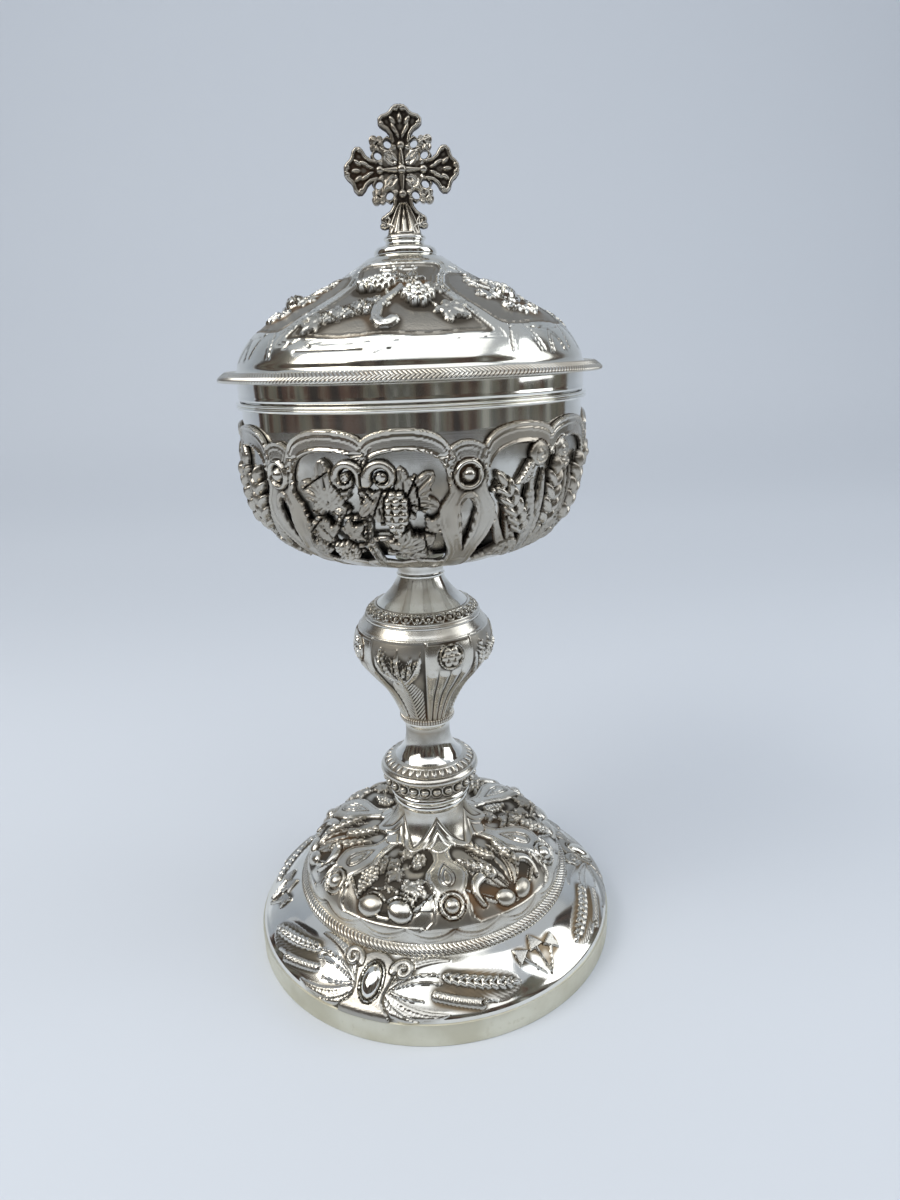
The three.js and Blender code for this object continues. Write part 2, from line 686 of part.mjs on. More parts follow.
const lidStones = inThreeBays(lidRun, firstLidBay + 60, [
  [0, 19.0, 4.1, 5.0, 1.1, 0],
  [0, 19.0, 3.1, 4.0, 3.0, 0],
  [-10.8, 17.0, 5.4, 3.2, 1.1, 0],
  [10.8, 17.0, 5.4, 3.2, 1.1, 0],
  [0, 30.6, 3.2, 4.6, 1.2, 0],
  [-6.2, 3.0, 2.6, 2.6, 0.9, 0],
  [6.2, 3.0, 2.6, 2.6, 0.9, 0],
]);
piece("lid_dome", joined(turned(lid, largeSides), [...lidVines, ...lidStones]), chasedSilver);

// Lid: a border wire runs round the flange's edge
const borderInner = flangeEdgeRadius + solderGap;
const borderRadius = borderInner + borderWidth;
const borderTop = lidFlange + sheet / 2;
const border = [
  [borderInner, borderTop - borderHeight],
  [borderRadius - borderEase, borderTop - borderHeight],
  [borderRadius, borderTop - borderHeight + borderEase],
  [borderInner + borderLand, borderTop],
  [borderInner, borderTop],
];
piece("lid_border", turned(border, largeSides), chasedSilver);

// Finial: a stepped base carries the cross, whose stud passes through base and lid to a nut inside
const finialCoveFoot = lidTop + finialTorusHeight;
const finialCollarFoot = finialSeat - finialCollarHeight;
const finialCove = quarterRound(finialSeatRadius, finialCoveFoot + finialCoveHeight, finialStepRadius, finialCoveFoot, 2);
const baseOutline = [
  ...halfRound(finialBaseRadius - finialTorusSwell, lidTop, finialCoveFoot, finialTorusSwell, 4),
  ...finialCove.reverse(),
  ...halfRound(finialSeatRadius, finialCollarFoot, finialSeat, finialCollarSwell, 2),
];
piece("finial_base", turned(bored(baseOutline, studBore), stemSides), polishedSilver);

// Cross: one arm flares with hollow sides to a pointed, three-lobed end
function armShape(reach) {
  const flare = reach - armEndLength;
  const outline = new THREE.Shape();
  outline.moveTo(-armRootHalf, 0);
  outline.lineTo(armRootHalf, 0);
  outline.quadraticCurveTo(armRootHalf, flare * 0.75, armEndHalf, flare);
  outline.quadraticCurveTo(armEndHalf, reach - armTipLength, armTipHalf, reach - armTipLength);
  outline.lineTo(0, reach);
  outline.lineTo(-armTipHalf, reach - armTipLength);
  outline.quadraticCurveTo(-armEndHalf, reach - armTipLength, -armEndHalf, flare);
  outline.quadraticCurveTo(-armRootHalf, flare * 0.75, -armRootHalf, 0);
  return outline;
}
// Cross: a ray between two arms, pierced by two holes and ended by a round bud
function rayShape() {
  const outline = new THREE.Shape();
  outline.moveTo(0, 0);
  outline.lineTo(rayHalf, rayWide);
  outline.lineTo(rayNeckHalf, rayNeck);
  outline.absarc(0, rayReach - rayBudRadius, rayBudRadius, -Math.PI * 0.2, Math.PI * 1.2, false);
  outline.lineTo(-rayNeckHalf, rayNeck);
  outline.lineTo(-rayHalf, rayWide);
  outline.lineTo(0, 0);
  for (const side of [-1, 1]) {
    outline.holes.push(new THREE.Path().absarc(side * rayHalf / 2, rayWide, rayHoleRadius, 0, Math.PI * 2, true));
  }
  return outline;
}
const cast = {
  depth: crossThickness - crossEdge * 2, bevelEnabled: true, bevelThickness: crossEdge,
  bevelSize: crossEdge, bevelOffset: -crossEdge, bevelSegments: 1, curveSegments: 2,
};
const crossCentre = finialSeat + crossHeight - crossReach;
const crossFootReach = crossHeight - crossReach;
const castings = [];
for (let k = 0; k < 4; k += 1) {
  const reach = k === 2 ? crossFootReach : crossReach;
  const arm = new THREE.ExtrudeGeometry(armShape(reach), cast);
  castings.push(arm.translate(0, 0, -crossThickness / 2 + crossEdge).rotateZ((k * Math.PI) / 2));
  const ray = new THREE.ExtrudeGeometry(rayShape(), { depth: rayThickness, bevelEnabled: false, curveSegments: 3 });
  castings.push(ray.translate(0, 0, -rayThickness / 2).rotateZ((k * Math.PI) / 2 + Math.PI / 4));
}
castings.push(new THREE.SphereGeometry(crossBossRadius, 6, 4));
const upright = castings.map((part) => part.rotateX(Math.PI / 2).translate(0, 0, crossCentre));
const studTop = finialSeat + footLeafHeight;
const finialNutTop = lidTop - sheet;
const studFoot = finialNutTop - finialNutHeight - studTail;
const stud = new THREE.CylinderGeometry(studRadius, studRadius, studTop - studFoot, studSides);
upright.push(stud.rotateX(Math.PI / 2).translate(0, 0, (studTop + studFoot) / 2));
const footLeaf = new THREE.CylinderGeometry(armRootHalf, finialSeatRadius - footLeafClear, footLeafHeight, 8);
upright.push(footLeaf.rotateX(Math.PI / 2).translate(0, 0, finialSeat + footLeafHeight / 2));
piece("cross_finial", joined(upright[0], upright.slice(1)), castSilver);
piece("finial_nut", hexNut(finialNutWidth, finialNutHeight, studBore, finialNutTop - finialNutHeight), satinSilver);

export default ciborium;
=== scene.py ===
# A silver ciborium, piece by piece from the foot up. Metres and +Z up, with the front towards -Y.
from types import SimpleNamespace

import bmesh
import bpy
import numpy as np
from mathutils import Matrix, Vector


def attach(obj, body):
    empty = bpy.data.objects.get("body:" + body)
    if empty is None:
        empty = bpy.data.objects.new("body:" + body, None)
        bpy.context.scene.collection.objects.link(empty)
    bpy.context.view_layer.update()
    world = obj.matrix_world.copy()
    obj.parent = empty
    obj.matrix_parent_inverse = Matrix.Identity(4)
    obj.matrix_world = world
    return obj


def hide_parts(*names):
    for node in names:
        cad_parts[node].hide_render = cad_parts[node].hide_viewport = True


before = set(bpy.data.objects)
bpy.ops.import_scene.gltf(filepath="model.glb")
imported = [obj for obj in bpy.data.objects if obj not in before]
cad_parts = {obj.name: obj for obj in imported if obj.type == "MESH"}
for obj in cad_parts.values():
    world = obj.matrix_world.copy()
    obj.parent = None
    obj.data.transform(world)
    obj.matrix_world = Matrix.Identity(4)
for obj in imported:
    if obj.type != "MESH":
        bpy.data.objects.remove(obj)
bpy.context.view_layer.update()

# Rim band of the foot: a plain upright strip of silver soldered round the flange's edge.
# Its face is satin from years of cleaning, with fine level scratches and small dents.


def smooth_curve(points, step):
    """A curve through the points. Between two points each coordinate is the cubic that leaves and arrives
    at the slope of its neighbours; the curve is then cut into even steps of about the given length."""
    points = np.asarray(points, float)
    stops = np.append(0.0, np.cumsum(np.linalg.norm(np.diff(points, axis=0), axis=1)))
    slope = np.gradient(points, stops, axis=0)
    fine = np.linspace(0.0, stops[-1], 40 * len(points))
    k = np.clip(np.searchsorted(stops, fine, side="right") - 1, 0, len(points) - 2)
    gap = (stops[k + 1] - stops[k])[:, None]
    a = (fine - stops[k])[:, None] / gap
    start = (2 * a**3 - 3 * a**2 + 1) * points[k] + (a**3 - 2 * a**2 + a) * gap * slope[k]
    curve = start + (3 * a**2 - 2 * a**3) * points[k + 1] + (a**3 - a**2) * gap * slope[k + 1]
    run = np.append(0.0, np.cumsum(np.linalg.norm(np.diff(curve, axis=0), axis=1)))
    even = np.linspace(0.0, run[-1], max(2, int(round(run[-1] / step)) + 1))
    return np.column_stack([np.interp(even, run, curve[:, i]) for i in range(points.shape[1])])


def make_piece(name, points, faces, metal, body, stands_for=(), patina_and_painted_shade=None, crease=38, matt=None):
    """Puts points in millimetres and faces into a mesh in metres at the origin, smooth up to the crease
    angle. Its attributes say how far each point is darkened, by patina deep in the relief and on some pieces
    by painted shade, and how far a punch has matted it."""
    mesh = bpy.data.meshes.new(name)
    mesh.from_pydata(np.asarray(points) * 0.001, [], np.asarray(faces).tolist())
    for mark, values in (("patina_and_painted_shade", patina_and_painted_shade), ("matt", matt)):
        if values is not None:
            shares = mesh.attributes.new(mark, "FLOAT", "POINT")
            shares.data.foreach_set("value", np.ravel(values).astype(np.float32))
    mesh.shade_smooth()
    mesh.set_sharp_from_angle(angle=np.radians(crease))
    mesh.materials.append(metal.look)
    piece = bpy.data.objects.new(name, mesh)
    bpy.context.scene.collection.objects.link(piece)
    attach(piece, body)
    if stands_for:
        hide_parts(*stands_for)
    return piece


def turned(outline, sides, relief=0.0):
    """A closed outline of radius and height, up its outer side and down its inner side, carried round the
    axis. A point moves off the outline by the relief, square to the outline's run."""
    radius, height = np.asarray(outline, float).T
    dr = np.roll(radius, -1) - np.roll(radius, 1)
    dz = np.roll(height, -1) - np.roll(height, 1)
    length = np.hypot(dr, dz) + 1e-9
    angle = np.linspace(0.0, 2 * np.pi, sides, endpoint=False)
    relief = np.broadcast_to(relief, (len(radius), sides))
    r = radius[:, None] + relief * (dz / length)[:, None]
    z = height[:, None] - relief * (dr / length)[:, None]
    points = np.stack([r * np.sin(angle), -r * np.cos(angle), z], axis=-1).reshape(-1, 3)
    row, column = np.meshgrid(np.arange(len(radius)), np.arange(sides), indexing="ij")
    above, beside = (row + 1) % len(radius), (column + 1) % sides
    corners = [row * sides + column, row * sides + beside, above * sides + beside, above * sides + column]
    return points, np.stack(corners, axis=-1).reshape(-1, 4)


def turned_piece(name, outline, sides, metal, body, stands_for=(), relief=0.0, patina_and_painted_shade=None):
    """One piece of the outline carried round the axis."""
    points, faces = turned(outline, sides, relief)
    return make_piece(name, points, faces, metal, body, stands_for, patina_and_painted_shade)


def round_over(outline, radius):
    """The closed outline with each corner replaced by three points of the curve that its two sides, cut
    short by the radius, bend into."""
    p = np.asarray(outline, float)
    before, after = np.roll(p, 1, axis=0) - p, np.roll(p, -1, axis=0) - p
    short = np.minimum(radius, 0.45 * np.minimum(np.hypot(*before.T), np.hypot(*after.T)))[:, None]
    first = p + before / (np.hypot(*before.T)[:, None] + 1e-9) * short
    last = p + after / (np.hypot(*after.T)[:, None] + 1e-9) * short
    return np.stack([first, (first + 2 * p + last) / 4, last], axis=1).reshape(-1, 2)


def silver_skin():
    """Node group: clean metal clouded by haze, and dark by its patina-and-painted-shade share: patina in the
    recesses, and painted shade and painted reflection on the pieces given them. Haze is soft noise; the dark
    share is that share raised by noise; matted ground is greyer. Roughness grows with all three; the height
    is fine scratches two ways, dents, and the punch marks of the matted ground."""
    group = bpy.data.node_groups.new("silver skin", "ShaderNodeTree")
    face = group.interface
    colours = {"Clean": (0.9, 0.88, 0.82, 1), "Haze": (0.7, 0.64, 0.52, 1), "Deep": (0.1, 0.08, 0.06, 1),
               "Rust": (0.4, 0.2, 0.08, 1), "Ground": (0.27, 0.245, 0.205, 1)}
    amounts = {"PatinaAndPaintedShade": 0.0, "Matt": 0.0, "Haziness": 0.4, "Polish": 0.12, "Scratches": 0.5}
    for kind, sockets in (("NodeSocketColor", colours), ("NodeSocketFloat", amounts)):
        for name, value in sockets.items():
            face.new_socket(name, in_out="INPUT", socket_type=kind).default_value = value
    for name, kind in (("Colour", "NodeSocketColor"), ("Roughness", "NodeSocketFloat"),
                       ("Height", "NodeSocketFloat")):
        face.new_socket(name, in_out="OUTPUT", socket_type=kind)
    nodes, links = group.nodes, group.links
    given, out = nodes.new("NodeGroupInput"), nodes.new("NodeGroupOutput")
    place = nodes.new("ShaderNodeTexCoord").outputs["Object"]

    def noise(scale, detail, stretch=(1, 1, 1)):
        at = nodes.new("ShaderNodeMapping")
        at.inputs["Scale"].default_value = stretch
        links.new(place, at.inputs["Vector"])
        grain = nodes.new("ShaderNodeTexNoise")
        grain.inputs["Scale"].default_value = scale
        grain.inputs["Detail"].default_value = detail
        links.new(at.outputs["Vector"], grain.inputs["Vector"])
        return grain.outputs["Fac"]

    def sum_up(kind, first, second, third=None, clamp=False):
        node = nodes.new("ShaderNodeMath")
        node.operation, node.use_clamp = kind, clamp
        for socket, value in zip(node.inputs, (first, second, third)):
            if isinstance(value, (int, float)):
                socket.default_value = value
            elif value is not None:
                links.new(value, socket)
        return node.outputs[0]

    def spread(value, low, high):
        node = nodes.new("ShaderNodeMapRange")
        node.interpolation_type = "SMOOTHSTEP"
        node.inputs["From Min"].default_value = low
        node.inputs["From Max"].default_value = high
        links.new(value, node.inputs["Value"])
        return node.outputs["Result"]

    def blend(share, first, second):
        node = nodes.new("ShaderNodeMix")
        node.data_type = "RGBA"
        links.new(share, node.inputs["Factor"])
        links.new(first, node.inputs[6])
        links.new(second, node.inputs[7])
        return node.outputs[2]

    clouds = spread(noise(55, 5), 0.35, 0.68)
    specks = spread(noise(420, 6), 0.56, 0.7)
    patches = spread(noise(26, 3), 0.5, 0.64)
    haze = sum_up("MULTIPLY", sum_up("MAXIMUM", clouds, sum_up("MULTIPLY", specks, 0.6)),
                  given.outputs["Haziness"])
    dark = spread(sum_up("MULTIPLY_ADD", clouds, 0.22, given.outputs["PatinaAndPaintedShade"]), 0.3, 0.98)
    foot = blend(sum_up("MULTIPLY", patches, 0.6), given.outputs["Deep"], given.outputs["Rust"])
    clean = blend(haze, given.outputs["Clean"], given.outputs["Haze"])
    clean = blend(sum_up("MULTIPLY", given.outputs["Matt"], 0.9), clean, given.outputs["Ground"])
    links.new(blend(dark, clean, foot), out.inputs["Colour"])
    rough = sum_up("MULTIPLY_ADD", haze, 0.16, given.outputs["Polish"])
    rough = sum_up("MULTIPLY_ADD", given.outputs["Matt"], 0.26, rough)
    links.new(sum_up("MULTIPLY_ADD", dark, 0.3, rough, clamp=True), out.inputs["Roughness"])
    level = noise(900, 3, (0.1, 0.1, 3.0))
    slant = noise(700, 3, (2.6, 0.25, 0.25))
    lines = sum_up("MULTIPLY", sum_up("ADD", level, slant), given.outputs["Scratches"])
    matting = sum_up("MULTIPLY", sum_up("MULTIPLY", noise(1500, 1), given.outputs["Matt"]), 6.0)
    links.new(sum_up("ADD", matting, sum_up("MULTIPLY_ADD", noise(120, 2), 1.4, lines)),
              out.inputs["Height"])
    return group


skin_group = silver_skin()


def silver(name, slot, **values):
    """A metal: the look whose colour, roughness and fine height come from the silver skin with these
    values, and the name of its slot, kept with it."""
    look = bpy.data.materials.new(name)
    look.use_nodes = True
    nodes, links = look.node_tree.nodes, look.node_tree.links
    shader = nodes["Principled BSDF"]
    shader.inputs["Metallic"].default_value = 1.0
    skin = nodes.new("ShaderNodeGroup")
    skin.node_tree = skin_group
    for mark, socket in (("patina_and_painted_shade", "PatinaAndPaintedShade"), ("matt", "Matt")):
        given = nodes.new("ShaderNodeAttribute")
        given.attribute_name = mark
        links.new(given.outputs["Fac"], skin.inputs[socket])
    for socket, value in values.items():
        skin.inputs[socket].default_value = (*value, 1) if isinstance(value, tuple) else value
    bump = nodes.new("ShaderNodeBump")
    bump.inputs["Strength"].default_value = 0.35
    bump.inputs["Distance"].default_value = 0.00004
    links.new(skin.outputs["Height"], bump.inputs["Height"])
    links.new(bump.outputs["Normal"], shader.inputs["Normal"])
    links.new(skin.outputs["Colour"], shader.inputs["Base Color"])
    links.new(skin.outputs["Roughness"], shader.inputs["Roughness"])
    return SimpleNamespace(look=look, slot=slot)


satin_silver = silver("satin silver", "satin_silver", Clean=(0.80, 0.78, 0.66), Haze=(0.66, 0.63, 0.50),
                      Haziness=0.8, Polish=0.42, Scratches=2.2)
rim_outer, rim_inner, rim_top, rim_edge = 70.0, 68.4, 8.8, 0.55
rim_outline = round_over([(rim_inner, 0), (rim_outer, 0), (rim_outer, rim_top), (rim_inner, rim_top)],
                         rim_edge)
turned_piece("rim_band", rim_outline, 240, satin_silver, "stand", ["foot_rim_band"])

# Flange of the foot: raised sheet silver, polished, climbing from the rim band to the reeded ring.
# Three oval cabochons in scroll cartouches, wheat and reed sprays and three nails are chased into it.

# the height where nothing is worked
far_below = -9.0


def mark_out(outline, sides, repeats):
    """Rules one repeat of the outer side of a turned sheet: degrees round the axis, run up the outline in
    millimetres, a height that is far below nothing until a motif is worked in, and how matt it is."""
    size = (len(outline), sides // repeats)
    degrees = np.arange(size[1])[None, :] * 360.0 / sides
    run = np.append(0.0, np.cumsum(np.linalg.norm(np.diff(outline, axis=0), axis=1)))[:, None]
    return SimpleNamespace(outline=outline, repeats=repeats, degrees=degrees,
                           run=np.broadcast_to(run, size), radius=np.broadcast_to(outline[:, :1], size),
                           height=np.full(size, far_below), matt=np.zeros(size))


def across_and_up(sheet, degrees, run):
    """Millimetres across and up from a place on the sheet, the angle taken the short way round."""
    period = 360.0 / sheet.repeats
    around = (sheet.degrees - degrees + period / 2) % period - period / 2
    return np.radians(around) * sheet.radius, sheet.run - run


def chase(sheet, motif, degrees, run, lean=0.0, hand=1, lift=0.0, reach=9.0, matt=0.0):
    """Works a motif into the sheet at a place, leaning to the right by so many degrees, mirrored where the
    hand is -1. What is already there is first beaten down along a narrow line round the motif. The sheet then
    keeps the higher of its own height and the motif's, and where that is the motif's, its matting too."""
    across, up = across_and_up(sheet, degrees, run)
    near = (np.abs(across) < reach) & (np.abs(up) < reach)
    across, up = across[near], up[near]
    turn = np.radians(lean)
    x, y = across * np.cos(turn) - up * np.sin(turn), across * np.sin(turn) + up * np.cos(turn)
    height = motif(hand * x, y)
    line_width, line_height = 0.42, 0.12
    beside = (height <= 0) & (height > -line_width)
    sheet.height[near] = np.where(beside, np.minimum(sheet.height[near], line_height), sheet.height[near])
    height = np.where(height > 0, height + lift, height)
    sheet.matt[near] = np.where((height > sheet.height[near]) & (height > 0), matt, sheet.matt[near])
    sheet.height[near] = np.maximum(sheet.height[near], height)


def domed(inside, full, height):
    """Height over the distance inside an edge: a quarter circle that is level at the full distance."""
    share = np.clip(inside / full, 0.0, 1.0)
    return np.where(inside > 0, height * np.sqrt(1 - (1 - share) ** 2), inside)


def round_wire(away, half, height):
    """Height of a half-round wire over the distance to either side of its line."""
    return domed(half - np.abs(away), half, height)


def soft_groove(away, half):
    """Depth of a groove over the distance from its line, as a share: e to the minus square of the distance
    over the half width."""
    return np.exp(-((away / half) ** 2))


def straights(path, x, y):
    """For each straight of the path in turn: its number, the share run along it, and the distance from it."""
    for k, ((x0, y0), (x1, y1)) in enumerate(zip(path[:-1], path[1:])):
        dx, dy = x1 - x0, y1 - y0
        t = np.clip(((x - x0) * dx + (y - y0) * dy) / (dx * dx + dy * dy + 1e-12), 0.0, 1.0)
        yield k, t, np.hypot(x - x0 - t * dx, y - y0 - t * dy)


def ridge(path, width, height, roof=False):
    """A raised line along a path: its half width runs evenly from the first to the last value of width, or
    swells as a half sine where it is a roof-shaped leaf, whose rib is a groove."""
    path = np.asarray(path, float)
    steps = np.linalg.norm(np.diff(path, axis=0), axis=1)
    share = np.append(0.0, np.cumsum(steps)) / steps.sum()

    def motif(x, y):
        best = np.full(x.shape, far_below)
        for k, t, away in straights(path, x, y):
            along = share[k] + (share[k + 1] - share[k]) * t
            half = width[0] + (width[1] - width[0]) * along
            if roof:
                half = half * np.sin(np.pi * np.clip(0.08 + 0.92 * along, 0, 1)) ** 0.7 + 0.05
                edge = np.clip((half - away) / 0.3, 0, 1) ** 0.5
                fold = height * (0.55 + 0.45 * np.clip(away / half, 0, 1)) * edge
                here = np.where(away < half, fold, half - away)
            else:
                here = domed(half - away, half, height)
            best = np.maximum(best, here)
        return best

    return motif


def bend(x0, y0, x1, y1, bow, steps=9):
    """A path from one place to another that bows to its left by the bow, as a parabola does."""
    t = np.linspace(0.0, 1.0, steps)[:, None]
    straight = np.array([[x0, y0]]) * (1 - t) + np.array([[x1, y1]]) * t
    left = np.array([[-(y1 - y0), x1 - x0]]) / np.hypot(x1 - x0, y1 - y0)
    return straight + left * bow * 4 * t * (1 - t)


def volute(x, y, size, start, turns, hand=1):
    """A path that winds in to a centre: its distance falls evenly from the size to a fifth of it."""
    t = np.linspace(0.0, 1.0, 26)
    angle = np.radians(start) + hand * 2 * np.pi * turns * t
    away = size * (1 - 0.8 * t)
    return np.column_stack([x + away * np.cos(angle), y + away * np.sin(angle)])


def almond(x, y, cx, cy, long, wide, lean, height):
    """A leaning grain: height times the square root of 1 less its two shares squared, pinched at its tips."""
    turn = np.radians(lean)
    p = ((x - cx) * np.sin(turn) + (y - cy) * np.cos(turn)) / long
    q = ((x - cx) * np.cos(turn) - (y - cy) * np.sin(turn)) / wide
    inside = 1 - p * p - np.abs(q) ** 1.6
    return np.where(inside > 0, height * np.sqrt(np.maximum(inside, 0)), np.maximum(inside, far_below))


def wheat_ear(length, grain, height, beard):
    """Pairs of leaning grains up a stalk with one at the tip, and fine bristles that fan out beyond them. A
    grain overlaps the one above it; the ear is widest below its middle."""
    count = max(3, int(round(length / (grain * 1.2))))

    def motif(x, y):
        best = almond(x, y, 0, length / 2, grain * 0.95, grain * 0.42, 0, height)
        for k in range(count):
            cy = -length / 2 + length * k / count
            full = 0.66 + 0.34 * np.sin(np.pi * (k + 1.4) / (count + 1.4))
            for side in (-1, 1):
                best = np.maximum(best, almond(x, y, side * grain * 0.5 * full, cy, grain * 0.98,
                                               grain * 0.44 * full, side * 27, height))
                if beard > 0:
                    bristle = [(side * grain * 0.9 * full, cy + grain * 0.5),
                               (side * (grain * 1.2 + beard * 0.34) * full, cy + beard)]
                    best = np.maximum(best, ridge(bristle, (0.2, 0.1), 0.28)(x, y))
        return best

    return motif


def oval(wide, long, height):
    """A smooth egg-shaped boss: height times the square root of 1 less its two shares squared."""
    def motif(x, y):
        inside = 1 - (x / wide) ** 2 - (y / long) ** 2
        return np.where(inside > 0, height * np.sqrt(np.maximum(inside, 0)), inside * min(wide, long) / 2)
    return motif


def oval_ring(wide, long, half, height):
    """A round wire bent to an oval: domed over the distance from the oval's line."""
    def motif(x, y):
        scale = np.hypot(x / wide, y / long)
        return round_wire((scale - 1) * (wide + long) / 2, half, height)
    return motif


def rush(length, half, height):
    """A reed mace: a blunt rod crossed by fine rings, as a cosine along it."""
    def motif(x, y):
        rod = ridge([(0, -length / 2), (0, length / 2)], (half, half), height)(x, y)
        return np.where(rod > 0, rod * (0.86 + 0.14 * np.cos(2 * np.pi * y / 0.8)), rod)
    return motif


def nail(length, height):
    """A hand-made nail: a shank that tapers to its point, with a flat three-cornered head."""
    def motif(x, y):
        shank = ridge([(0, length * 0.62), (0, -length * 0.38)], (0.75, 0.25), height)(x, y)
        head = np.minimum(y - length * 0.38, (length * 0.38 + 5.2 - y) * 0.66 - np.abs(x))
        return np.maximum(shank, domed(np.minimum(head, 0.9), 0.35, height * 1.1))
    return motif


def softened(field, cells):
    """The mean of the field over a square of cells about each point, taken twice, round the axis too."""
    for _ in range(2):
        for axis, edge in ((0, "edge"), (1, "wrap")):
            pad = [(0, 0), (0, 0)]
            pad[axis] = (cells + 1, cells)
            total = np.cumsum(np.pad(field, pad, mode=edge), axis=axis)
            width = 2 * cells + 1
            first = np.take(total, range(width, total.shape[axis]), axis)
            field = (first - np.take(total, range(total.shape[axis] - width), axis)) / width
    return field


def depth_of(relief, cells=5, full=0.34):
    """How deep each point lies below what stands round it: the softened relief less its own, as a share."""
    return np.clip((softened(relief, cells) - relief) / full, 0.0, 1.0)


def raise_sheet(name, sheet, rest, metal, body, stands_for):
    """Carries the worked sheet round the axis, closes it with the rest of its outline, makes the piece."""
    relief = np.tile(np.maximum(sheet.height, 0.0), (1, sheet.repeats))
    depth = depth_of(relief)
    matt = np.tile(sheet.matt, (1, sheet.repeats))
    rest = np.asarray(rest, float)
    spare = np.zeros((len(rest), relief.shape[1]))
    whole = np.vstack([sheet.outline, rest])
    points, faces = turned(whole, relief.shape[1], np.vstack([relief, spare]))
    patina_and_painted_shade, matting = np.vstack([depth, spare]), np.vstack([matt, spare])
    return make_piece(name, points, faces, metal, body, stands_for, patina_and_painted_shade, matt=matting)


polished_silver = silver("polished silver", "polished_silver", Clean=(0.91, 0.90, 0.85),
                         Haze=(0.80, 0.76, 0.64), Haziness=0.4, Polish=0.07, Scratches=0.35,
                         Deep=(0.13, 0.115, 0.09), Rust=(0.38, 0.28, 0.17))
flange_outline = smooth_curve([(69.4, 9.0), (69.1, 10.2), (67.4, 12.1), (62.2, 16.7), (57.0, 20.4),
                               (53.4, 22.1)], 0.36)
flange = mark_out(flange_outline, 1290, 3)
cartouche, middle = -22.0, 11.2


def shield(x, y):
    """The flat shield round the oval: narrow above its foot, wide where the scrolls leave it."""
    half = np.interp(y, (-10.2, -9.0, -7.4, -5.6, -3.0, 0.0, 3.2, 5.4, 7.0, 8.6, 9.6),
                     (9.5, 8.6, 6.6, 5.6, 5.4, 6.2, 6.8, 7.4, 6.2, 4.2, 2.0))
    return domed(np.minimum(half - np.abs(x), 9.9 - y) * 0.8, 0.6, 0.5)


def blade(path, half, height):
    """A low leaf along a path: its half width swells as a half sine, its height falls to the edge with the
    square of the way out, and a soft groove runs down its middle."""
    def motif(x, y):
        best = np.full(x.shape, far_below)
        for k, t, away in straights(path, x, y):
            wide = half * np.sin(np.pi * np.clip(0.1 + 0.86 * (k + t) / (len(path) - 1), 0, 1)) ** 0.8 + 0.1
            swell = height * (1 - np.minimum(away / wide, 1) ** 2) - 0.5 * height * soft_groove(away, 0.45)
            best = np.maximum(best, np.where(away < wide, np.maximum(swell, 0.02), wide - away))
        return best

    return motif


def bristles(length, half):
    """A spray of fine lines that fan out on both sides of an ear: an egg shape ruled by a leaning cosine."""
    def motif(x, y):
        along = y / length
        inside = half * np.sqrt(np.clip(1 - (2 * along - 1) ** 2, 0, 1)) * (0.6 + 0.4 * along) - np.abs(x)
        lines = 0.5 + 0.5 * np.cos(2 * np.pi * (np.abs(x) * 0.93 - y * 0.36) / 1.05)
        return np.where(inside > 0, 0.03 + 0.12 * lines * np.clip(inside / 1.2, 0, 1), inside)
    return motif


for side in (-1, 1):
    for x, y, bow, wide in ((17.5, 8.6, 3.0, 1.9), (25.0, 8.2, 4.2, 1.7), (12.0, 9.0, 1.6, 1.5),
                            (15.0, -8.2, -2.6, 2.0), (22.0, -9.0, -3.4, 1.9), (29.0, -8.6, -2.4, 1.6)):
        chase(flange, blade(bend(5.6, -2.6 + 1.0 * (y > 0), x, y, bow), wide, 0.6), cartouche, middle,
              hand=side, reach=34, matt=0.5)
    for x, y, bow in ((24, 0.8, 1.6), (19, -4.2, -0.6), (23, 3.4, 2.6)):
        chase(flange, ridge(bend(6, -1.8, x, y, bow), (0.5, 0.45), 0.4), cartouche, middle, hand=side,
              reach=28, matt=0.5)
    chase(flange, bristles(30, 6.0), cartouche + side * 21.5, middle + 2.8, side * 105, side, reach=31,
          matt=0.6)
    chase(flange, wheat_ear(24, 2.2, 1.3, 0), cartouche + side * 35.5, middle - 0.4, side * 105, side,
          lift=0.1, reach=20, matt=0.42)
    chase(flange, rush(15.5, 1.7, 1.0), cartouche + side * 27.5, middle - 4.8, side * 105, side, lift=0.1,
          reach=12, matt=0.62)
    chase(flange, ridge(bend(0, 0, 5.2, 0.4, 0.6), (0.35, 0.3), 0.4), cartouche + side * 34.5,
          middle - 6.6, side * 12, side, matt=0.3)
chase(flange, shield, cartouche, middle, 3, lift=0.25, reach=12, matt=0.8)
for side in (-1, 1):
    curl = volute(9.6, 5.4, 3.4, 190, 1.3, hand=-1)
    chase(flange, ridge(curl, (1.3, 0.8), 0.7), cartouche, middle, 3, side, lift=0.25, reach=15, matt=0.7)
chase(flange, oval_ring(4.0, 6.2, 0.42, 0.5), cartouche, middle, 4, lift=0.6, matt=0.3)
chase(flange, oval(3.3, 5.5, 2.3), cartouche, middle, 4, lift=0.6)
for lean, degrees, run in ((-35, 32.4, 9.3), (36, 38.6, 8.3), (-4, 36.2, 9.8)):
    chase(flange, nail(12.0, 0.8), degrees, run, lean, lift=0.1, reach=13, matt=0.65)
flange_under = [(53.4, 22.2), (49.7, 22.2), (49.7, 21.2), (53.4, 21.2), (58.0, 18.6), (61.7, 15.7),
                (66.0, 11.8), (67.4, 8.8), (69.4, 8.8)]
raise_sheet("chased_flange", flange, flange_under, polished_silver, "stand", ["foot_flange"])

# Reeded ring: a strip of rolled wire with slanted reeds, soldered where flange and dome meet.
# The reeds are 0.4 mm deep and dark between.
chased_silver = silver("chased silver", "chased_silver", Clean=(0.76, 0.74, 0.68),
                       Haze=(0.54, 0.485, 0.39), Haziness=0.7, Polish=0.2, Scratches=0.6,
                       Deep=(0.105, 0.092, 0.075), Rust=(0.27, 0.155, 0.075))


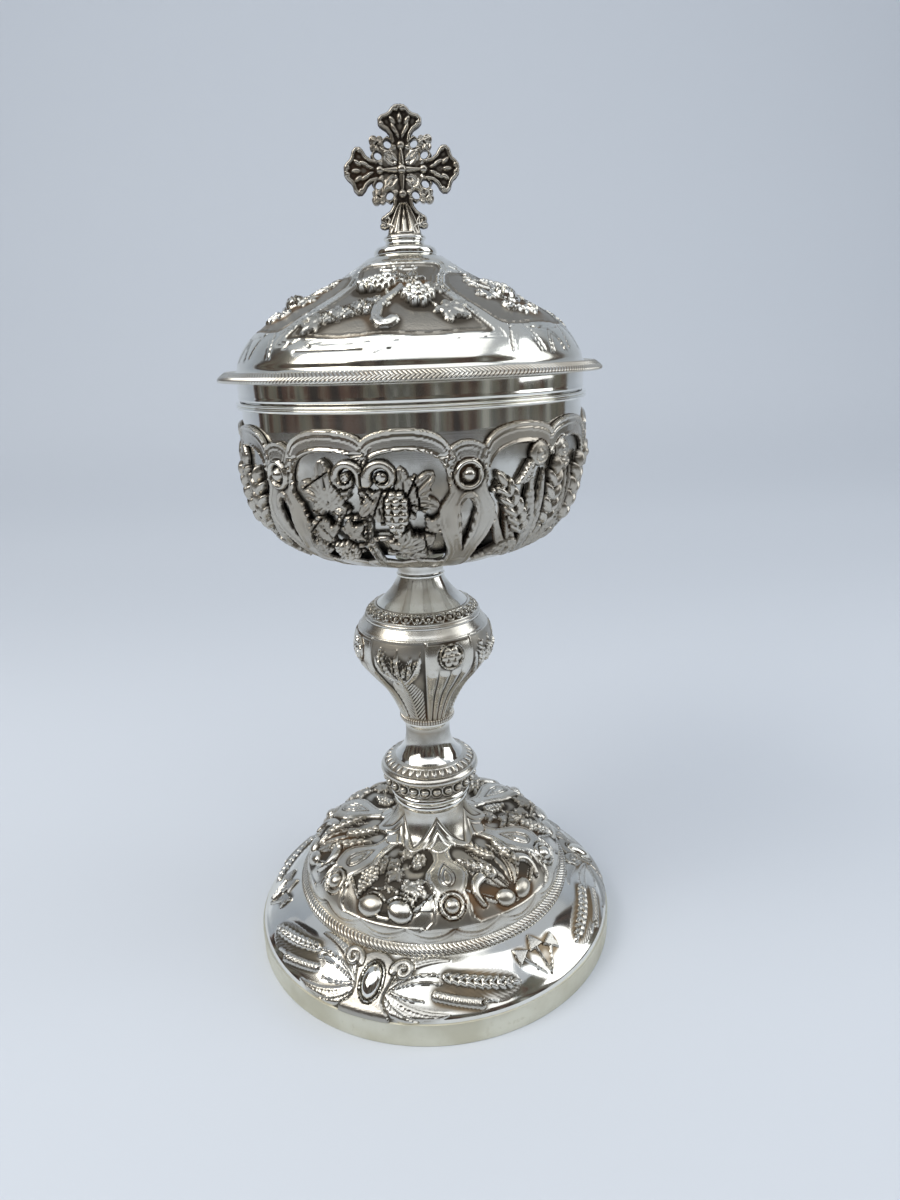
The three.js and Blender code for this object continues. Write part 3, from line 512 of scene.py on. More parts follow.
def reeded_piece(name, outline, sides, reeds, slant, depth, first, last, body, stands_for, fold=0):
    """A turned ring with round reeds side by side, each the size of the sine's arch, moved round by the slant
    for each row away from the fold, and dark between. Rows outside first and last stay plain."""
    row, column = np.meshgrid(np.arange(len(outline)), np.arange(sides), indexing="ij")
    arch = np.abs(np.sin(np.pi * (reeds * column / sides + slant * np.abs(row - fold))))
    worked = (row >= first) & (row <= last)
    relief = np.where(worked, depth * (arch - 1), 0.0)
    dark = np.where(worked, np.clip(1.15 - 1.6 * arch, 0, 1), 0.0)
    turned_piece(name, outline, sides, chased_silver, body, [stands_for], relief, dark)


ring_side = smooth_curve([(53.4, 22.25), (53.6, 23.4), (52.9, 24.6), (51.0, 25.3)], 0.4)
ring_outline = np.vstack([[(51.0, 22.2)], ring_side])
reeded_piece("reeded_ring", ring_outline, sides=1600, reeds=200, slant=0.16, depth=0.4, first=2,
             last=len(ring_outline) - 2, body="stand", stands_for="foot_reeded_ring")

# Dome and neck of the foot: one raised sheet, chased from both sides. Six posts with a ringed boss and a
# drop part the panels, vine and wheat by turns, whose ground is sunk and dark; pointed leaves climb the neck.
dome_outline = smooth_curve([(50.7, 22.4), (50.75, 25.5), (50.3, 29.0), (48.3, 33.4), (45.0, 37.2),
                             (41.0, 39.9), (37.0, 41.0), (32.0, 41.2), (26.0, 40.9), (20.6, 41.7),
                             (16.6, 43.4), (14.4, 46.6), (13.1, 50.4), (12.6, 53.9)], 0.43)


def outward(outline):
    """At each point of an outline, the step of 1 square to its run, away from the hollow side."""
    dr, dz = np.gradient(outline[:, 0]), np.gradient(outline[:, 1])
    return np.column_stack([dz, -dr]) / np.hypot(dr, dz)[:, None]


dome = mark_out(dome_outline - 0.3 * outward(dome_outline), 654, 3)


def at_height(sheet, height):
    """The run at which the sheet's outline reaches a height."""
    return float(np.interp(height, sheet.outline[:, 1], sheet.run[:, 0]))


def at_radius(sheet, radius):
    """The run at which the sheet's outline, from its foot up, first comes in to a radius."""
    shrinking = np.minimum.accumulate(sheet.radius[:, 0])
    return float(np.interp(-radius, -shrinking, sheet.run[:, 0]))


def from_nearest(degrees, first, period):
    """Degrees to the nearest of the places that stand a period apart, counted from the first."""
    return np.abs((degrees - first + period / 2) % period - period / 2)


def band_edge(inside, wire, gap, height, land):
    """A strap's height over the distance inside its edge: a round wire on the edge, a flat land, and a
    second, finer wire at the gap."""
    first = domed(np.minimum(inside, wire - inside) * 2, wire, height)
    second = round_wire(inside - gap, 0.34, land + 0.22)
    flat = np.where(inside > 0, land * np.clip(inside / 0.25, 0, 1), inside)
    return np.maximum(np.maximum(first, second), flat)


def boss(radius, ball, height):
    """A ball in a round wire: the square root of the ball's radius squared less the distance squared."""
    def motif(x, y):
        away = np.hypot(x, y)
        wire = round_wire(away - radius, 0.75, height)
        dome_of_ball = np.sqrt(np.maximum(ball * ball - away * away, 0)) * 0.8
        return np.maximum(wire, np.where(away < ball, dome_of_ball, -1.0) * height)
    return motif


def drop_line(long, wide):
    """The outline of a drop as a closed path, its round end at the start and its point the length below:
    across is the sine of the turn by the sine of its half, down is half of 1 plus its cosine."""
    t = np.linspace(0, 2 * np.pi, 30)
    return np.column_stack([wide * np.sin(t) * np.sin(t / 2) ** 1.2, -long * (1 + np.cos(t)) / 2])


def vine_leaf(size, height):
    """Five pointed lobes about the stalk with toothed edges. Each lobe is nearly flat out to its edge, and
    rises to its tip; a groove runs along its rib and a fainter one on either side of that."""
    def motif(x, y):
        best = np.full(x.shape, far_below)
        for lean, share in ((118, 0.58), (-118, 0.58), (55, 0.86), (-55, 0.86), (0, 1.0)):
            turn = np.radians(lean)
            length = size * share
            along = (x * np.sin(turn) + y * np.cos(turn)) / length
            across = np.abs(x * np.cos(turn) - y * np.sin(turn))
            teeth = 0.78 + 0.4 * ((along * 3.0 + 0.15) % 1.0)
            half = length * 0.3 * np.sin(np.pi * np.clip(0.2 + 0.8 * along, 0, 1)) ** 0.75 * teeth
            inside = np.where(along < 0, 0.2 * size - np.hypot(x, y),
                              np.where(along > 1, length * (1 - along), half - across))
            grooves = 0.42 * soft_groove(across, 0.42) + 0.24 * soft_groove(across - 0.55 * half, 0.3)
            here = domed(inside, 0.5, 1.0) * height * (0.7 + 0.3 * np.clip(along, 0, 1) - grooves)
            best = np.maximum(best, np.where(inside > 0, np.maximum(here, 0.05), inside))
        return best
    return motif


def engrave(sheet, path, half, depth, degrees, run, hand=1, reach=14.0):
    """Cuts a round groove along a path into what is already worked there."""
    across, up = across_and_up(sheet, degrees, run)
    near = (np.abs(across) < reach) & (np.abs(up) < reach) & (sheet.height > 0)
    cut = ridge(path, (half, half), depth)(hand * across[near], up[near])
    sheet.height[near] = sheet.height[near] - np.maximum(cut, 0)


def grapes(berry, rows, height):
    """Berries in rows that narrow towards the tip, each a ball; those in the middle stand on the rest."""
    def motif(x, y):
        best = np.full(x.shape, far_below)
        for k, count in enumerate(rows):
            cy = (len(rows) / 2 - 0.5 - k) * berry * 1.62
            for j in range(count):
                cx = (j - (count - 1) / 2) * berry * 1.86
                away = np.hypot(x - cx, y - cy)
                lift = 0.7 * berry * max(0.0, 1 - abs(cx) / (berry * 3.4)) * height
                ball = lift + np.sqrt(np.maximum(berry**2 - away**2, 0)) * height
                best = np.maximum(best, np.where(away < berry, ball, berry - away))
        return best
    return motif


def tendril(path, height, half=0.42):
    """A thin stalk along a path."""
    return ridge(path, (half, half * 0.75), height)


# the plain foot of the dome with its scalloped double line, three arches to a bay
first_post, bay_width, arch_width = 7.0, 60.0, 20.0
arch = 3.2 * np.abs(np.sin(np.pi * (dome.degrees - first_post) / arch_width)) ** 0.8
above_line = (dome.run - 8.2 + arch) * 0.88
plain = domed(8.9 - dome.run, 0.6, 0.55)
lines = 0.36 * soft_groove(above_line, 0.3) + 0.24 * soft_groove(above_line + 1.3, 0.25)
dome.height = np.where(plain > 0, plain + 0.25 * np.clip(above_line / 0.6, 0, 1) - lines, plain)
boss_run = at_radius(dome, 45.6)
vine, wheat = first_post - bay_width / 2, first_post + bay_width / 2

# both panels: a sunk matted ground framed below by a double wire that turns up at the posts
for bay in (vine, wheat):
    across, up = across_and_up(dome, bay, boss_run)
    frame_side = up + 4.6 - 0.034 * across**2
    mine = np.abs(across) < np.radians(30.5) * dome.radius
    dome.height = np.where(mine & (frame_side < 0),
                           np.maximum(dome.height, 0.45 * np.clip(-frame_side / 0.5, 0, 1)), dome.height)
    dome.matt = np.where(mine & (frame_side > 0) & (up < 26.5), 0.5, dome.matt)
    wires = np.maximum(round_wire(frame_side, 0.7, 1.2), round_wire(frame_side - 1.7, 0.35, 0.5))
    wires = np.where(mine & (up < 8.0), wires, far_below)
    dome.matt = np.where(wires > 0, 0.0, dome.matt)
    dome.height = np.maximum(dome.height, wires)

# vine panel: two smooth ovals in a curl below, leaves and bunches above on bent stalks
for stalk in ((0, 4, -3, 20, 2.2), (-1, 6, -12, 7, 2.6), (0, 6, 9, 8, -2.2), (-3, 16, -10, 17, -1.6),
              (0, 13, 7, 19, 1.5)):
    chase(dome, tendril(bend(*stalk), 0.95, 0.6), vine, boss_run, reach=24, matt=0.3)
for degrees, radius, size, lean in ((-33.5, 29.6, 8.2, 176), (-12.0, 39.6, 8.6, 178),
                                    (-24.0, 24.0, 5.6, -20), (-23.0, 35.0, 4.8, -160),
                                    (-41.0, 33.0, 5.0, -110)):
    chase(dome, vine_leaf(size, 1.8), degrees, at_radius(dome, radius), lean, lift=0.1, reach=10, matt=0.4)
for degrees, radius, berry, rows, lean in ((-37.0, 40.8, 1.0, (2, 3, 4, 3, 3, 2, 1), -3),
                                           (-12.5, 27.0, 0.92, (2, 3, 3, 3, 2, 1), 0)):
    chase(dome, grapes(berry, rows, 1.1), degrees, at_radius(dome, radius), lean, lift=0.3, matt=0.15)
for side in (-1, 1):
    chase(dome, ridge(volute(0, 0, 5.0, 150, 0.85, hand=-1), (0.8, 0.45), 1.1), vine + side * 6.8,
          boss_run - 1.6, hand=side)
    chase(dome, oval(4.7, 3.7, 1.7), vine + side * 7.0, boss_run - 1.9, side * 16, lift=0.4)

# wheat panel: ears and long leaves that spring from a bow of two smooth ovals, with a smooth drop on
# either side
for side in (-1, 1):
    for k, (x, y, bow, wide) in enumerate(((2.2, 21.5, 0.8, 1.0), (6.4, 21.5, 1.6, 1.1),
                                           (10.5, 17.5, 2.8, 1.1), (5.5, 14.5, 1.6, 0.9))):
        chase(dome, ridge(bend(0.6 + 0.4 * k, 0.0, x, y, -bow), (wide, wide * 0.8), 0.8 + 0.08 * k,
                          roof=True), wheat, boss_run, hand=side, reach=24, matt=0.4)
for degrees, radius, lean, length in ((26.0, 34.5, -34, 13.5), (38.5, 26.5, -6, 12.5),
                                      (50.5, 34.5, 18, 13.0)):
    chase(dome, wheat_ear(length, 2.1, 1.6, 2.4), degrees, at_radius(dome, radius), lean, lift=0.5,
          reach=11, matt=0.25)
for side in (-1, 1):
    chase(dome, ridge(bend(side * 8.5, 7.5, side * 13.0, -2.0, side * 2.6), (1.9, 0.9), 1.4), wheat,
          boss_run, lift=0.3, reach=17)
    chase(dome, oval(3.9, 2.9, 1.6), wheat + side * 5.0, boss_run - 2.4, side * -24, lift=0.5)

# six posts: a smooth flat strap with a line engraved inside its edge, wide at its foot, about the ringed boss
# and about the drop, whose two outlines are engraved
for post in (first_post, first_post + bay_width):
    across, up = across_and_up(dome, post, boss_run)
    half = np.interp(up, (-8.0, -6.6, -4.8, -1.0, 2.4, 4.2, 6.4, 10.0, 13.5, 17.0, 21.0, 25.0, 29.0),
                     (15.0, 9.8, 7.8, 7.0, 6.3, 5.6, 6.8, 8.0, 7.6, 5.6, 3.6, 3.4, 4.4))
    inside = np.where(up > -7.2, np.minimum((half - np.abs(across)) * 0.85, 29.0 - up), far_below)
    plate = domed(inside, 0.7, 1.0) - 0.34 * soft_groove(inside - 1.15, 0.26)
    dome.matt = np.where(inside > 0, 0.12, dome.matt)
    dome.height = np.where(inside > 0, plate, dome.height)
    for long, wide, foot in ((12.0, 3.9, 6.6), (7.6, 2.1, 7.6)):
        engrave(dome, drop_line(long, wide) * [1, -1] + [0, foot], 0.36, 0.4, post, boss_run, reach=22)
    chase(dome, boss(3.8, 2.7, 1.0), post, boss_run, lift=0.5)

# the plain bright neck: a zigzag line whose peaks stand over the posts and whose tips hang over the bays, and
# smaller ones inside each peak
neck_foot = at_radius(dome, 17.4)
beside_peak = from_nearest(dome.degrees, first_post, bay_width) / (bay_width / 2)
up = dome.run - neck_foot
neck_inside = up + 3.6 + 1.2 * np.cos(np.pi * beside_peak * 2)
neck = domed(neck_inside, 0.9, 1.05)
for low, high, wide in ((-2.2, 9.8, 1.0), (-2.2, 5.2, 0.62), (-2.2, 1.6, 0.34)):
    zigzag = high - (high - low) * beside_peak / wide
    away = (up - zigzag) * np.cos(np.arctan2(high - low, wide * np.radians(30.0) * 15.0))
    neck = neck - np.where(beside_peak < wide, 0.42 * soft_groove(away, 0.34), 0.0)
dome.height = np.where(neck_inside > 0, np.maximum(neck, 0.2), dome.height)
dome.matt = np.where(neck_inside > 0, 0.0, dome.matt)
dome_under = [(12.6, 54.0), (3.3, 54.0), (3.3, 52.6), (11.6, 52.6), (13.2, 46.4), (16.0, 42.5),
              (20.4, 40.7), (25.9, 39.9), (33.0, 40.2), (38.6, 39.9), (42.2, 38.2), (45.2, 35.4),
              (48.0, 31.0), (49.7, 26.5), (49.7, 22.2), (50.7, 22.2)]
raise_sheet("chased_dome", dome, dome_under, chased_silver, "stand", ["foot_dome"])

# Foot of the stem: two turned and polished rings, a band of round beads in a hollow, and a node whose
# sloping top carries a row of small arches. They are separate turnings, stacked and drawn down by the rod.
rod_bore = 3.3


def turning(name, side, stands_for, painted_darkening=((0.0, 0.0),)):
    """A polished ring of the stem: its outer side runs as a smooth curve through the given places, its inner
    side is the rod's bore. The painted darkening is a list of heights and shares, read between them in a
    straight
    line: a dark band painted round the ring where it would reflect the dark room, a painted reflection."""
    outline = np.vstack([smooth_curve(side, 0.35), [(rod_bore, side[-1][1]), (rod_bore, side[0][1])]])
    sides = 128
    # painted reflection: the darkening share of each point, a band round the ring
    dull = np.repeat(np.interp(outline[:, 1], *np.transpose(painted_darkening)), sides)
    turned_piece(name, outline, sides, polished_silver, "stand", [stands_for], patina_and_painted_shade=dull)


turning("collar_rings", [(13.4, 54.02), (14.3, 54.6), (14.5, 55.7), (14.1, 56.8), (13.5, 57.3),
                         (14.5, 57.6), (15.4, 58.4), (15.5, 59.4), (15.0, 60.2), (14.5, 60.78)],
        "stem_collar")

bead_outline = smooth_curve([(14.6, 60.82), (16.0, 61.3), (16.9, 62.0), (16.7, 63.4), (16.5, 65.0),
                             (16.8, 66.6), (17.9, 67.2), (18.3, 67.78)], 0.3)
bead_count, bead_place = 24, 7.5
bead_band = mark_out(bead_outline, 24 * bead_count, bead_count)
bead_run = at_height(bead_band, 64.8)
bead = 1.72
chase(bead_band, lambda x, y: np.where(np.hypot(x, y) < bead,
                                       np.sqrt(np.maximum(bead**2 - x * x - y * y, 0)) * 1.05, -1),
      bead_place, bead_run)
chase(bead_band, lambda x, y: round_wire(np.hypot(x, y) - 2.15, 0.3, 0.35), bead_place, bead_run)
rim = round_wire(bead_band.run - 0.7, 0.55, 0.3)
bead_band.height = np.maximum(bead_band.height, rim)
raise_sheet("bead_ring", bead_band, [(rod_bore, 67.8), (rod_bore, 60.8)], chased_silver, "stand",
            ["stem_bead_ring"])

node_outline = smooth_curve([(18.3, 67.82), (18.8, 68.2), (18.85, 69.2), (18.3, 70.1), (17.4, 70.8),
                             (15.6, 72.2), (14.0, 73.1), (13.2, 73.58)], 0.26)
arch_count = 34
node = mark_out(node_outline, 20 * arch_count, arch_count)
tooth = at_radius(node, 15.9)
chase(node, lambda x, y: domed(np.minimum(0.95 - np.hypot(x, np.minimum(y + 0.3, 0) * 0.9),
                                          1.35 - np.abs(y)), 0.4, 0.5), 5.3, tooth, reach=3)
for edge in (1.75, -2.1):
    wire = round_wire(node.run - tooth - edge, 0.32, 0.35)
    node.height = np.maximum(node.height, wire)
node.matt = np.where((node.height < 0.1) & (np.abs(node.run - tooth) < 2), 1.0, node.matt)
raise_sheet("arcaded_node", node, [(rod_bore, 73.6), (rod_bore, 67.8)], chased_silver, "stand",
            ["stem_node"])

# Lower neck: a polished spool, wide where it stands on the node.
# Above it a small milled ring parts it from the knop.
# The spool has a dark band painted round its middle, a painted reflection of the dark room.
turning("spool_neck", [(13.0, 73.62), (12.0, 74.5), (10.8, 76.0), (9.7, 77.8), (8.9, 80.0), (8.5, 82.4),
                       (8.5, 85.4), (8.9, 87.2), (9.3, 88.0), (9.3, 88.58)],
        "lower_neck", ((74.0, 0.1), (78.0, 0.3), (81.0, 0.52), (85.0, 0.56), (88.0, 0.2)))
milled_side = smooth_curve([(9.3, 88.62), (10.2, 89.0), (10.5, 89.9), (10.2, 90.8), (9.3, 91.18)], 0.35)
milled_outline = np.vstack([[(rod_bore, 88.6)], milled_side, [(rod_bore, 91.2)]])
reeded_piece("milled_ring", milled_outline, sides=640, reeds=64, slant=0.0, depth=0.3, first=2,
             last=len(milled_outline) - 3, body="stand", stands_for="knop_foot_ring")

# Knop: a hollow vase that the hand holds. Four fluted panels, each with a rosette, stand between four
# panels of wheat over hatched leaves, under a fine raised line.
knop_outline = smooth_curve([(9.05, 91.25), (9.9, 93.6), (12.5, 99.5), (15.4, 104.4), (18.8, 108.6),
                             (21.7, 112.3), (23.9, 115.4), (25.0, 118.3), (25.25, 121.3), (24.6, 124.8),
                             (23.2, 128.0), (21.4, 130.5)], 0.4)
knop = mark_out(knop_outline, 448, 4)
flute_centre, wheat_centre = 21.5, -23.5
line_run = at_height(knop, 127.0)
knop.height = np.maximum(knop.height, round_wire(knop.run - line_run, 0.38, 0.32))
across, up = across_and_up(knop, flute_centre, 0.0)
panel_half = np.radians(20.5) * knop.radius
side = panel_half - np.abs(across)
panel = np.minimum(side, line_run - 1.0 - up)
flute_count = 4
flutes = np.abs(np.sin(np.pi * flute_count * (across / (2 * panel_half) + 0.5))) ** 0.6
fluting = np.clip((at_height(knop, 117.0) - up) / 3.0, 0, 1)
edge = round_wire(side - 0.3, 0.5, 0.6)
land = np.where(panel > 0, 0.35 + 0.75 * flutes * fluting, far_below)
knop.height = np.maximum(knop.height, np.maximum(np.where(up < line_run, edge, far_below), land))


def rosette(size):
    """A round flower: a ball, six ball petals about it and a wire round them."""
    def motif(x, y):
        best = np.maximum(domed(size * 0.3 - np.hypot(x, y), size * 0.3, 0.9),
                          round_wire(np.hypot(x, y) - size, 0.32, 0.55))
        for k in range(6):
            a = k * np.pi / 3
            away = np.hypot(x - size * 0.58 * np.cos(a), y - size * 0.58 * np.sin(a))
            best = np.maximum(best, domed(size * 0.31 - away, size * 0.31, 0.75))
        return best
    return motif


def below(motif, top):
    """The motif up to a height, and nothing above it."""
    return lambda x, y: np.where(y < top, motif(x, y), far_below)


chase(knop, rosette(4.2), flute_centre, at_height(knop, 121.4), lift=0.55)
for degrees, z, lean, length in ((-36.0, 119.5, -8, 7.6), (-14.0, 117.6, 50, 7.6), (-24.5, 118.6, 4, 5.0)):
    chase(knop, wheat_ear(length, 1.5, 1.3, 2.2), degrees, at_height(knop, z), lean, lift=0.1)
leaf_root, leaf_top = at_height(knop, 108.5), at_height(knop, 112.5)
for leaf in ((-0.5, 0, -5.5, 17.0, 0.8), (0.5, 0, 5.2, 16.5, -1.2), (0, 1, 0.6, 18.5, 0.3),
             (0.6, 2, 9.0, 18, -2.0), (-0.6, 2, -9, 15, 2.0)):
    motif = below(ridge(bend(*leaf), (1.0, 0.8), 0.75, roof=True), line_run - leaf_root - 0.8)
    chase(knop, motif, wheat_centre, leaf_root, reach=22)
across, up = across_and_up(knop, wheat_centre, 0.0)
hatch = np.cos(2 * np.pi * (up - np.abs(across) * 1.15 - 0.05 * across**2) / 1.75)
leaf_half = np.radians(19.5) * knop.radius * np.clip((leaf_top - up) / 9.0, 0, 1) ** 0.5
leaf_inside = leaf_half - np.abs(across)
knop.height = np.maximum(knop.height, np.where(leaf_inside > 0, 0.3 + 0.3 * hatch, far_below))
rib = np.where((leaf_inside > -0.4) & (up < leaf_top), round_wire(across, 0.4, 0.75), far_below)
knop.height = np.maximum(knop.height, rib)
knop.matt = np.where((knop.height < 0.1) & (knop.run < line_run) & (knop.run > 1.0), 0.7, knop.matt)
raise_sheet("vase_knop", knop, [(rod_bore, 130.58), (rod_bore, 129.0), (19.8, 129.0), (23.4, 121.5),
                                (20.2, 113.0), (13.5, 104.5), (rod_bore, 101.0), (rod_bore, 91.2)],
            chased_silver, "stand", ["knop_body"])

# Band and cap of the knop: a cast band of small leaves between two wires lies on the shoulder, and a
# trumpet-shaped polished cap runs up from it to the neck.
band_outline = smooth_curve([(21.3, 130.62), (21.3, 131.2), (20.6, 132.1), (19.0, 133.5), (17.5, 134.8),
                             (16.8, 135.2), (16.6, 135.38)], 0.24)
leaf_count = 30
band = mark_out(band_outline, 20 * leaf_count, leaf_count)
band_middle = at_radius(band, 18.9)
chase(band, lambda x, y: np.maximum(oval_ring(1.6, 1.5, 0.36, 0.7)(x, y), oval(0.7, 0.95, 0.8)(x, y)),
      6.0, band_middle, reach=3)
chase(band, lambda x, y: almond(x, y, 0, 0.9, 1.1, 0.55, 0, 0.7), 0.0, band_middle, reach=3)
for edge in (-2.1, 2.1):
    band.height = np.maximum(band.height, round_wire(band.run - band_middle - edge, 0.42, 0.5))
band.matt = np.where((band.height < 0.1) & (np.abs(band.run - band_middle) < 2.2), 1.0, band.matt)
raise_sheet("leaf_band", band, [(rod_bore, 135.4), (rod_bore, 130.6)], chased_silver, "stand",
            ["knop_band"])
# The cap and the neck tube have a dark band painted round their middles, a painted reflection of the dark
# room.
turning("trumpet_cap", [(16.55, 135.42), (14.0, 137.4), (12.0, 139.4), (10.5, 141.3), (9.4, 143.2),
                        (8.7, 144.6), (8.35, 145.38)],
        "knop_cap", ((135.8, 0.1), (138.0, 0.42), (142.0, 0.5), (145.0, 0.2)))
turning("upper_neck_tube", [(8.3, 145.42), (8.75, 145.75), (8.8, 146.2), (8.35, 146.6), (8.3, 147.4),
                            (8.3, 150.0), (8.5, 151.4), (8.7, 151.98)],
        "upper_neck", ((146.2, 0.2), (148.0, 0.5), (150.0, 0.45), (151.6, 0.2)))

# Calyx: a stamped and pierced sheet close round the cup, scalloped along its top. Six wired posts with a
# ringed boss and a pierced drop hold panels of vine and of wheat by turns, cut out round every leaf.


def saw_out(height):
    """Cuts a grid along the line where the height falls through nothing. A square of the grid keeps the side
    of the line that stands above it; the line crosses a side of the square at the share of the way where the
    height, taken as straight between the corners, is nothing. Gives each point's row and column, which
    may lie between two, and the triangles."""
    rows, columns = height.shape
    inside = height > 0
    row, column = np.mgrid[0:rows, 0:columns].astype(float)
    with np.errstate(divide="ignore", invalid="ignore"):
        over, rise = [np.clip(np.nan_to_num(low / (low - high), nan=0.5), 0.04, 0.96)
                      for low, high in ((height[:, :-1], height[:, 1:]), (height[:-1], height[1:]))]
    at_row = np.concatenate([row.ravel(), row[:, :-1].ravel(), (row[:-1] + rise).ravel()])
    at_column = np.concatenate([column.ravel(), (column[:, :-1] + over).ravel(), column[:-1].ravel()])
    corner = np.arange(rows * columns).reshape(rows, columns)
    south = rows * columns + np.arange(rows * (columns - 1)).reshape(rows, columns - 1)
    west = rows * columns + south.size + np.arange((rows - 1) * columns).reshape(rows - 1, columns)
    spots = np.stack([corner[:-1, :-1], corner[:-1, 1:], corner[1:, 1:], corner[1:, :-1],
                      south[:-1], west[:, 1:], south[1:], west[:, :-1]], axis=-1).reshape(-1, 8)
    kind = (inside[:-1, :-1] * 1 + inside[:-1, 1:] * 2 + inside[1:, 1:] * 4 + inside[1:, :-1] * 8).ravel()
    kept = {1: [(0, 4, 7)], 2: [(1, 5, 4)], 3: [(0, 1, 5, 7)], 4: [(2, 6, 5)], 5: [(0, 4, 7), (2, 6, 5)],
            6: [(1, 2, 6, 4)], 7: [(0, 1, 2, 6, 7)], 8: [(3, 7, 6)], 9: [(0, 4, 6, 3)],
            10: [(1, 5, 4), (3, 7, 6)], 11: [(0, 1, 5, 6, 3)], 12: [(2, 3, 7, 5)], 13: [(0, 4, 5, 2, 3)],
            14: [(1, 2, 3, 7, 4)], 15: [(0, 1, 2, 3)]}
    pieces = []
    for number, shapes in kept.items():
        these = spots[kind == number]
        for shape in shapes:
            for k in range(1, len(shape) - 1):
                pieces.append(these[:, [shape[0], shape[k], shape[k + 1]]])
    triangles = np.concatenate(pieces)
    used, triangles = np.unique(triangles, return_inverse=True)
    return at_row[used], at_column[used], triangles.reshape(-1, 3)


def two_skins(triangles, count):
    """The triangles of an outer skin, the same turned over for the inner one, and walls on every side that
    only one triangle has."""
    sides = np.concatenate([triangles[:, [0, 1]], triangles[:, [1, 2]], triangles[:, [2, 0]]])
    edge = sides[~np.isin(sides[:, 0] * count + sides[:, 1], sides[:, 1] * count + sides[:, 0])]
    first, last = edge.T
    walls = np.concatenate([np.stack([last, first, first + count], -1),
                            np.stack([last, first + count, last + count], -1)])
    return np.concatenate([triangles, triangles[:, ::-1] + count, walls])


def sampled(field, rows, columns):
    """The field at places between its points, taken as straight between the four about each."""
    r = np.clip(rows.astype(int), 0, field.shape[0] - 2)
    c = np.clip(columns.astype(int), 0, field.shape[1] - 2)
    a, b = rows - r, columns - c
    low = field[r, c] * (1 - b) + field[r, c + 1] * b
    high = field[r + 1, c] * (1 - b) + field[r + 1, c + 1] * b
    return low * (1 - a) + high * a


# The calyx's metal is a darker copy of the chased silver: partly its tarnish, partly painted shade for the
# dim reflections round the cup's lower half.
pierced_silver = silver("pierced silver", "chased_silver", Clean=(0.64, 0.61, 0.545),
                        Haze=(0.45, 0.395, 0.315), Haziness=0.7, Polish=0.19, Scratches=0.6,
                        Deep=(0.07, 0.058, 0.047), Rust=(0.24, 0.13, 0.065))
calyx_outline = smooth_curve([(13.0, 152.1), (22.0, 154.0), (32.0, 156.6), (38.5, 158.7), (43.0, 161.0),
                              (48.6, 165.1), (52.2, 169.3), (54.8, 174.0), (56.4, 179.2), (57.3, 185.0),
                              (57.9, 191.0), (58.0, 197.0), (58.0, 203.2)], 0.4)
calyx_columns, first_post, bay_width = 846, 15.0, 60.0
vine, wheat = first_post - bay_width / 2, first_post + bay_width / 2
calyx = mark_out(calyx_outline, calyx_columns, 3)
first_column, column_degrees = first_post - bay_width, 360.0 / calyx_columns
calyx.degrees = calyx.degrees + first_column
top_run = at_height(calyx, 202.6)
from_post = from_nearest(calyx.degrees, first_post, bay_width)
post_half = 5.4
small = 3.9 + 1.9 * (from_post / post_half) ** 2
share = np.clip((from_post - post_half) / (bay_width / 2 - post_half), 0, 1)
fall = np.where(share < 0.5, 5.8, 3.6)
large = fall * (1 - np.sqrt(np.clip(1 - (2 * share - 1) ** 2, 0, 1)))
edge_drop = np.where(from_post < post_half, small, large)
slope = np.abs(np.gradient(edge_drop, axis=1)) / (np.radians(column_degrees) * calyx_outline[-1, 0])
inside = (top_run - calyx.run - edge_drop) / np.sqrt(1 + np.minimum(slope, 2.5) ** 2)
border = band_edge(inside, wire=0.9, gap=2.2, height=1.0, land=0.45)
inner_line = round_wire(inside - 5.7, 0.55, 0.9)
calyx.height = np.maximum(calyx.height, np.where(inside < 6.2, np.maximum(border, inner_line),
                                                 6.2 - inside))

# wheat panel: three ears with broad ribbon leaves between them, sprung from one root, and curled leaves below
root = at_height(calyx, 163.5)
for x, y, bow, wide in ((-22.0, 20.0, 4.0, 1.5), (-19.0, 27.0, 4.0, 1.6), (20.5, 18.0, -5.0, 1.7),
                        (1.0, 27.5, 0.8, 1.6), (15.5, 24.0, -3.6, 1.8), (-3.6, 28.0, 2.2, 1.7),
                        (8.0, 28.0, -2.6, 1.9), (11.8, 27.0, -3.2, 1.5), (-9.4, 29.5, 2.4, 2.3)):
    chase(calyx, ridge(bend(0.3 * np.sign(x), -5.0, x, y, bow), (wide, wide * 0.8), 1.5, roof=True),
          wheat, root, reach=36, matt=0.4)
for place in ((-9.6, 30.5, -15.0, 24.5, 1.4), (-19.4, 27.5, -23.0, 23.0, 1.0),
              (8.2, 29.0, 4.0, 25.0, -1.2)):
    chase(calyx, ridge(bend(*place), (1.9, 1.3), 2.1, roof=True), wheat, root, reach=36, matt=0.2)
for degrees, z, lean, length in ((29.6, 179.0, -30, 18.0), (46.4, 180.4, 4, 16.0), (61.0, 180.0, 16, 17.0)):
    chase(calyx, wheat_ear(length, 3.2, 2.3, 0), degrees, at_height(calyx, z), lean, lift=0.6, reach=14,
          matt=0.25)
for side in (-1, 1):
    chase(calyx, ridge(bend(2.0, -8.0, 15.5, -4.0, 3.0), (1.9, 1.2), 1.4, roof=True), wheat, root,
          hand=side, reach=18, matt=0.35)
    chase(calyx, ridge(bend(17.0, -3.0, 6.0, -5.0, -8.4), (2.1, 1.4), 1.9, roof=True), wheat, root,
          hand=side, reach=22, matt=0.3)
    chase(calyx, oval(3.7, 3.7, 1.1), wheat + side * 5.6, at_height(calyx, 192.8), lift=0.5, matt=0.3)
    engrave(calyx, volute(0, 0, 2.9, 150, 1.4), 0.34, 0.55, wheat + side * 5.6, at_height(calyx, 192.8),
            hand=side, reach=8)

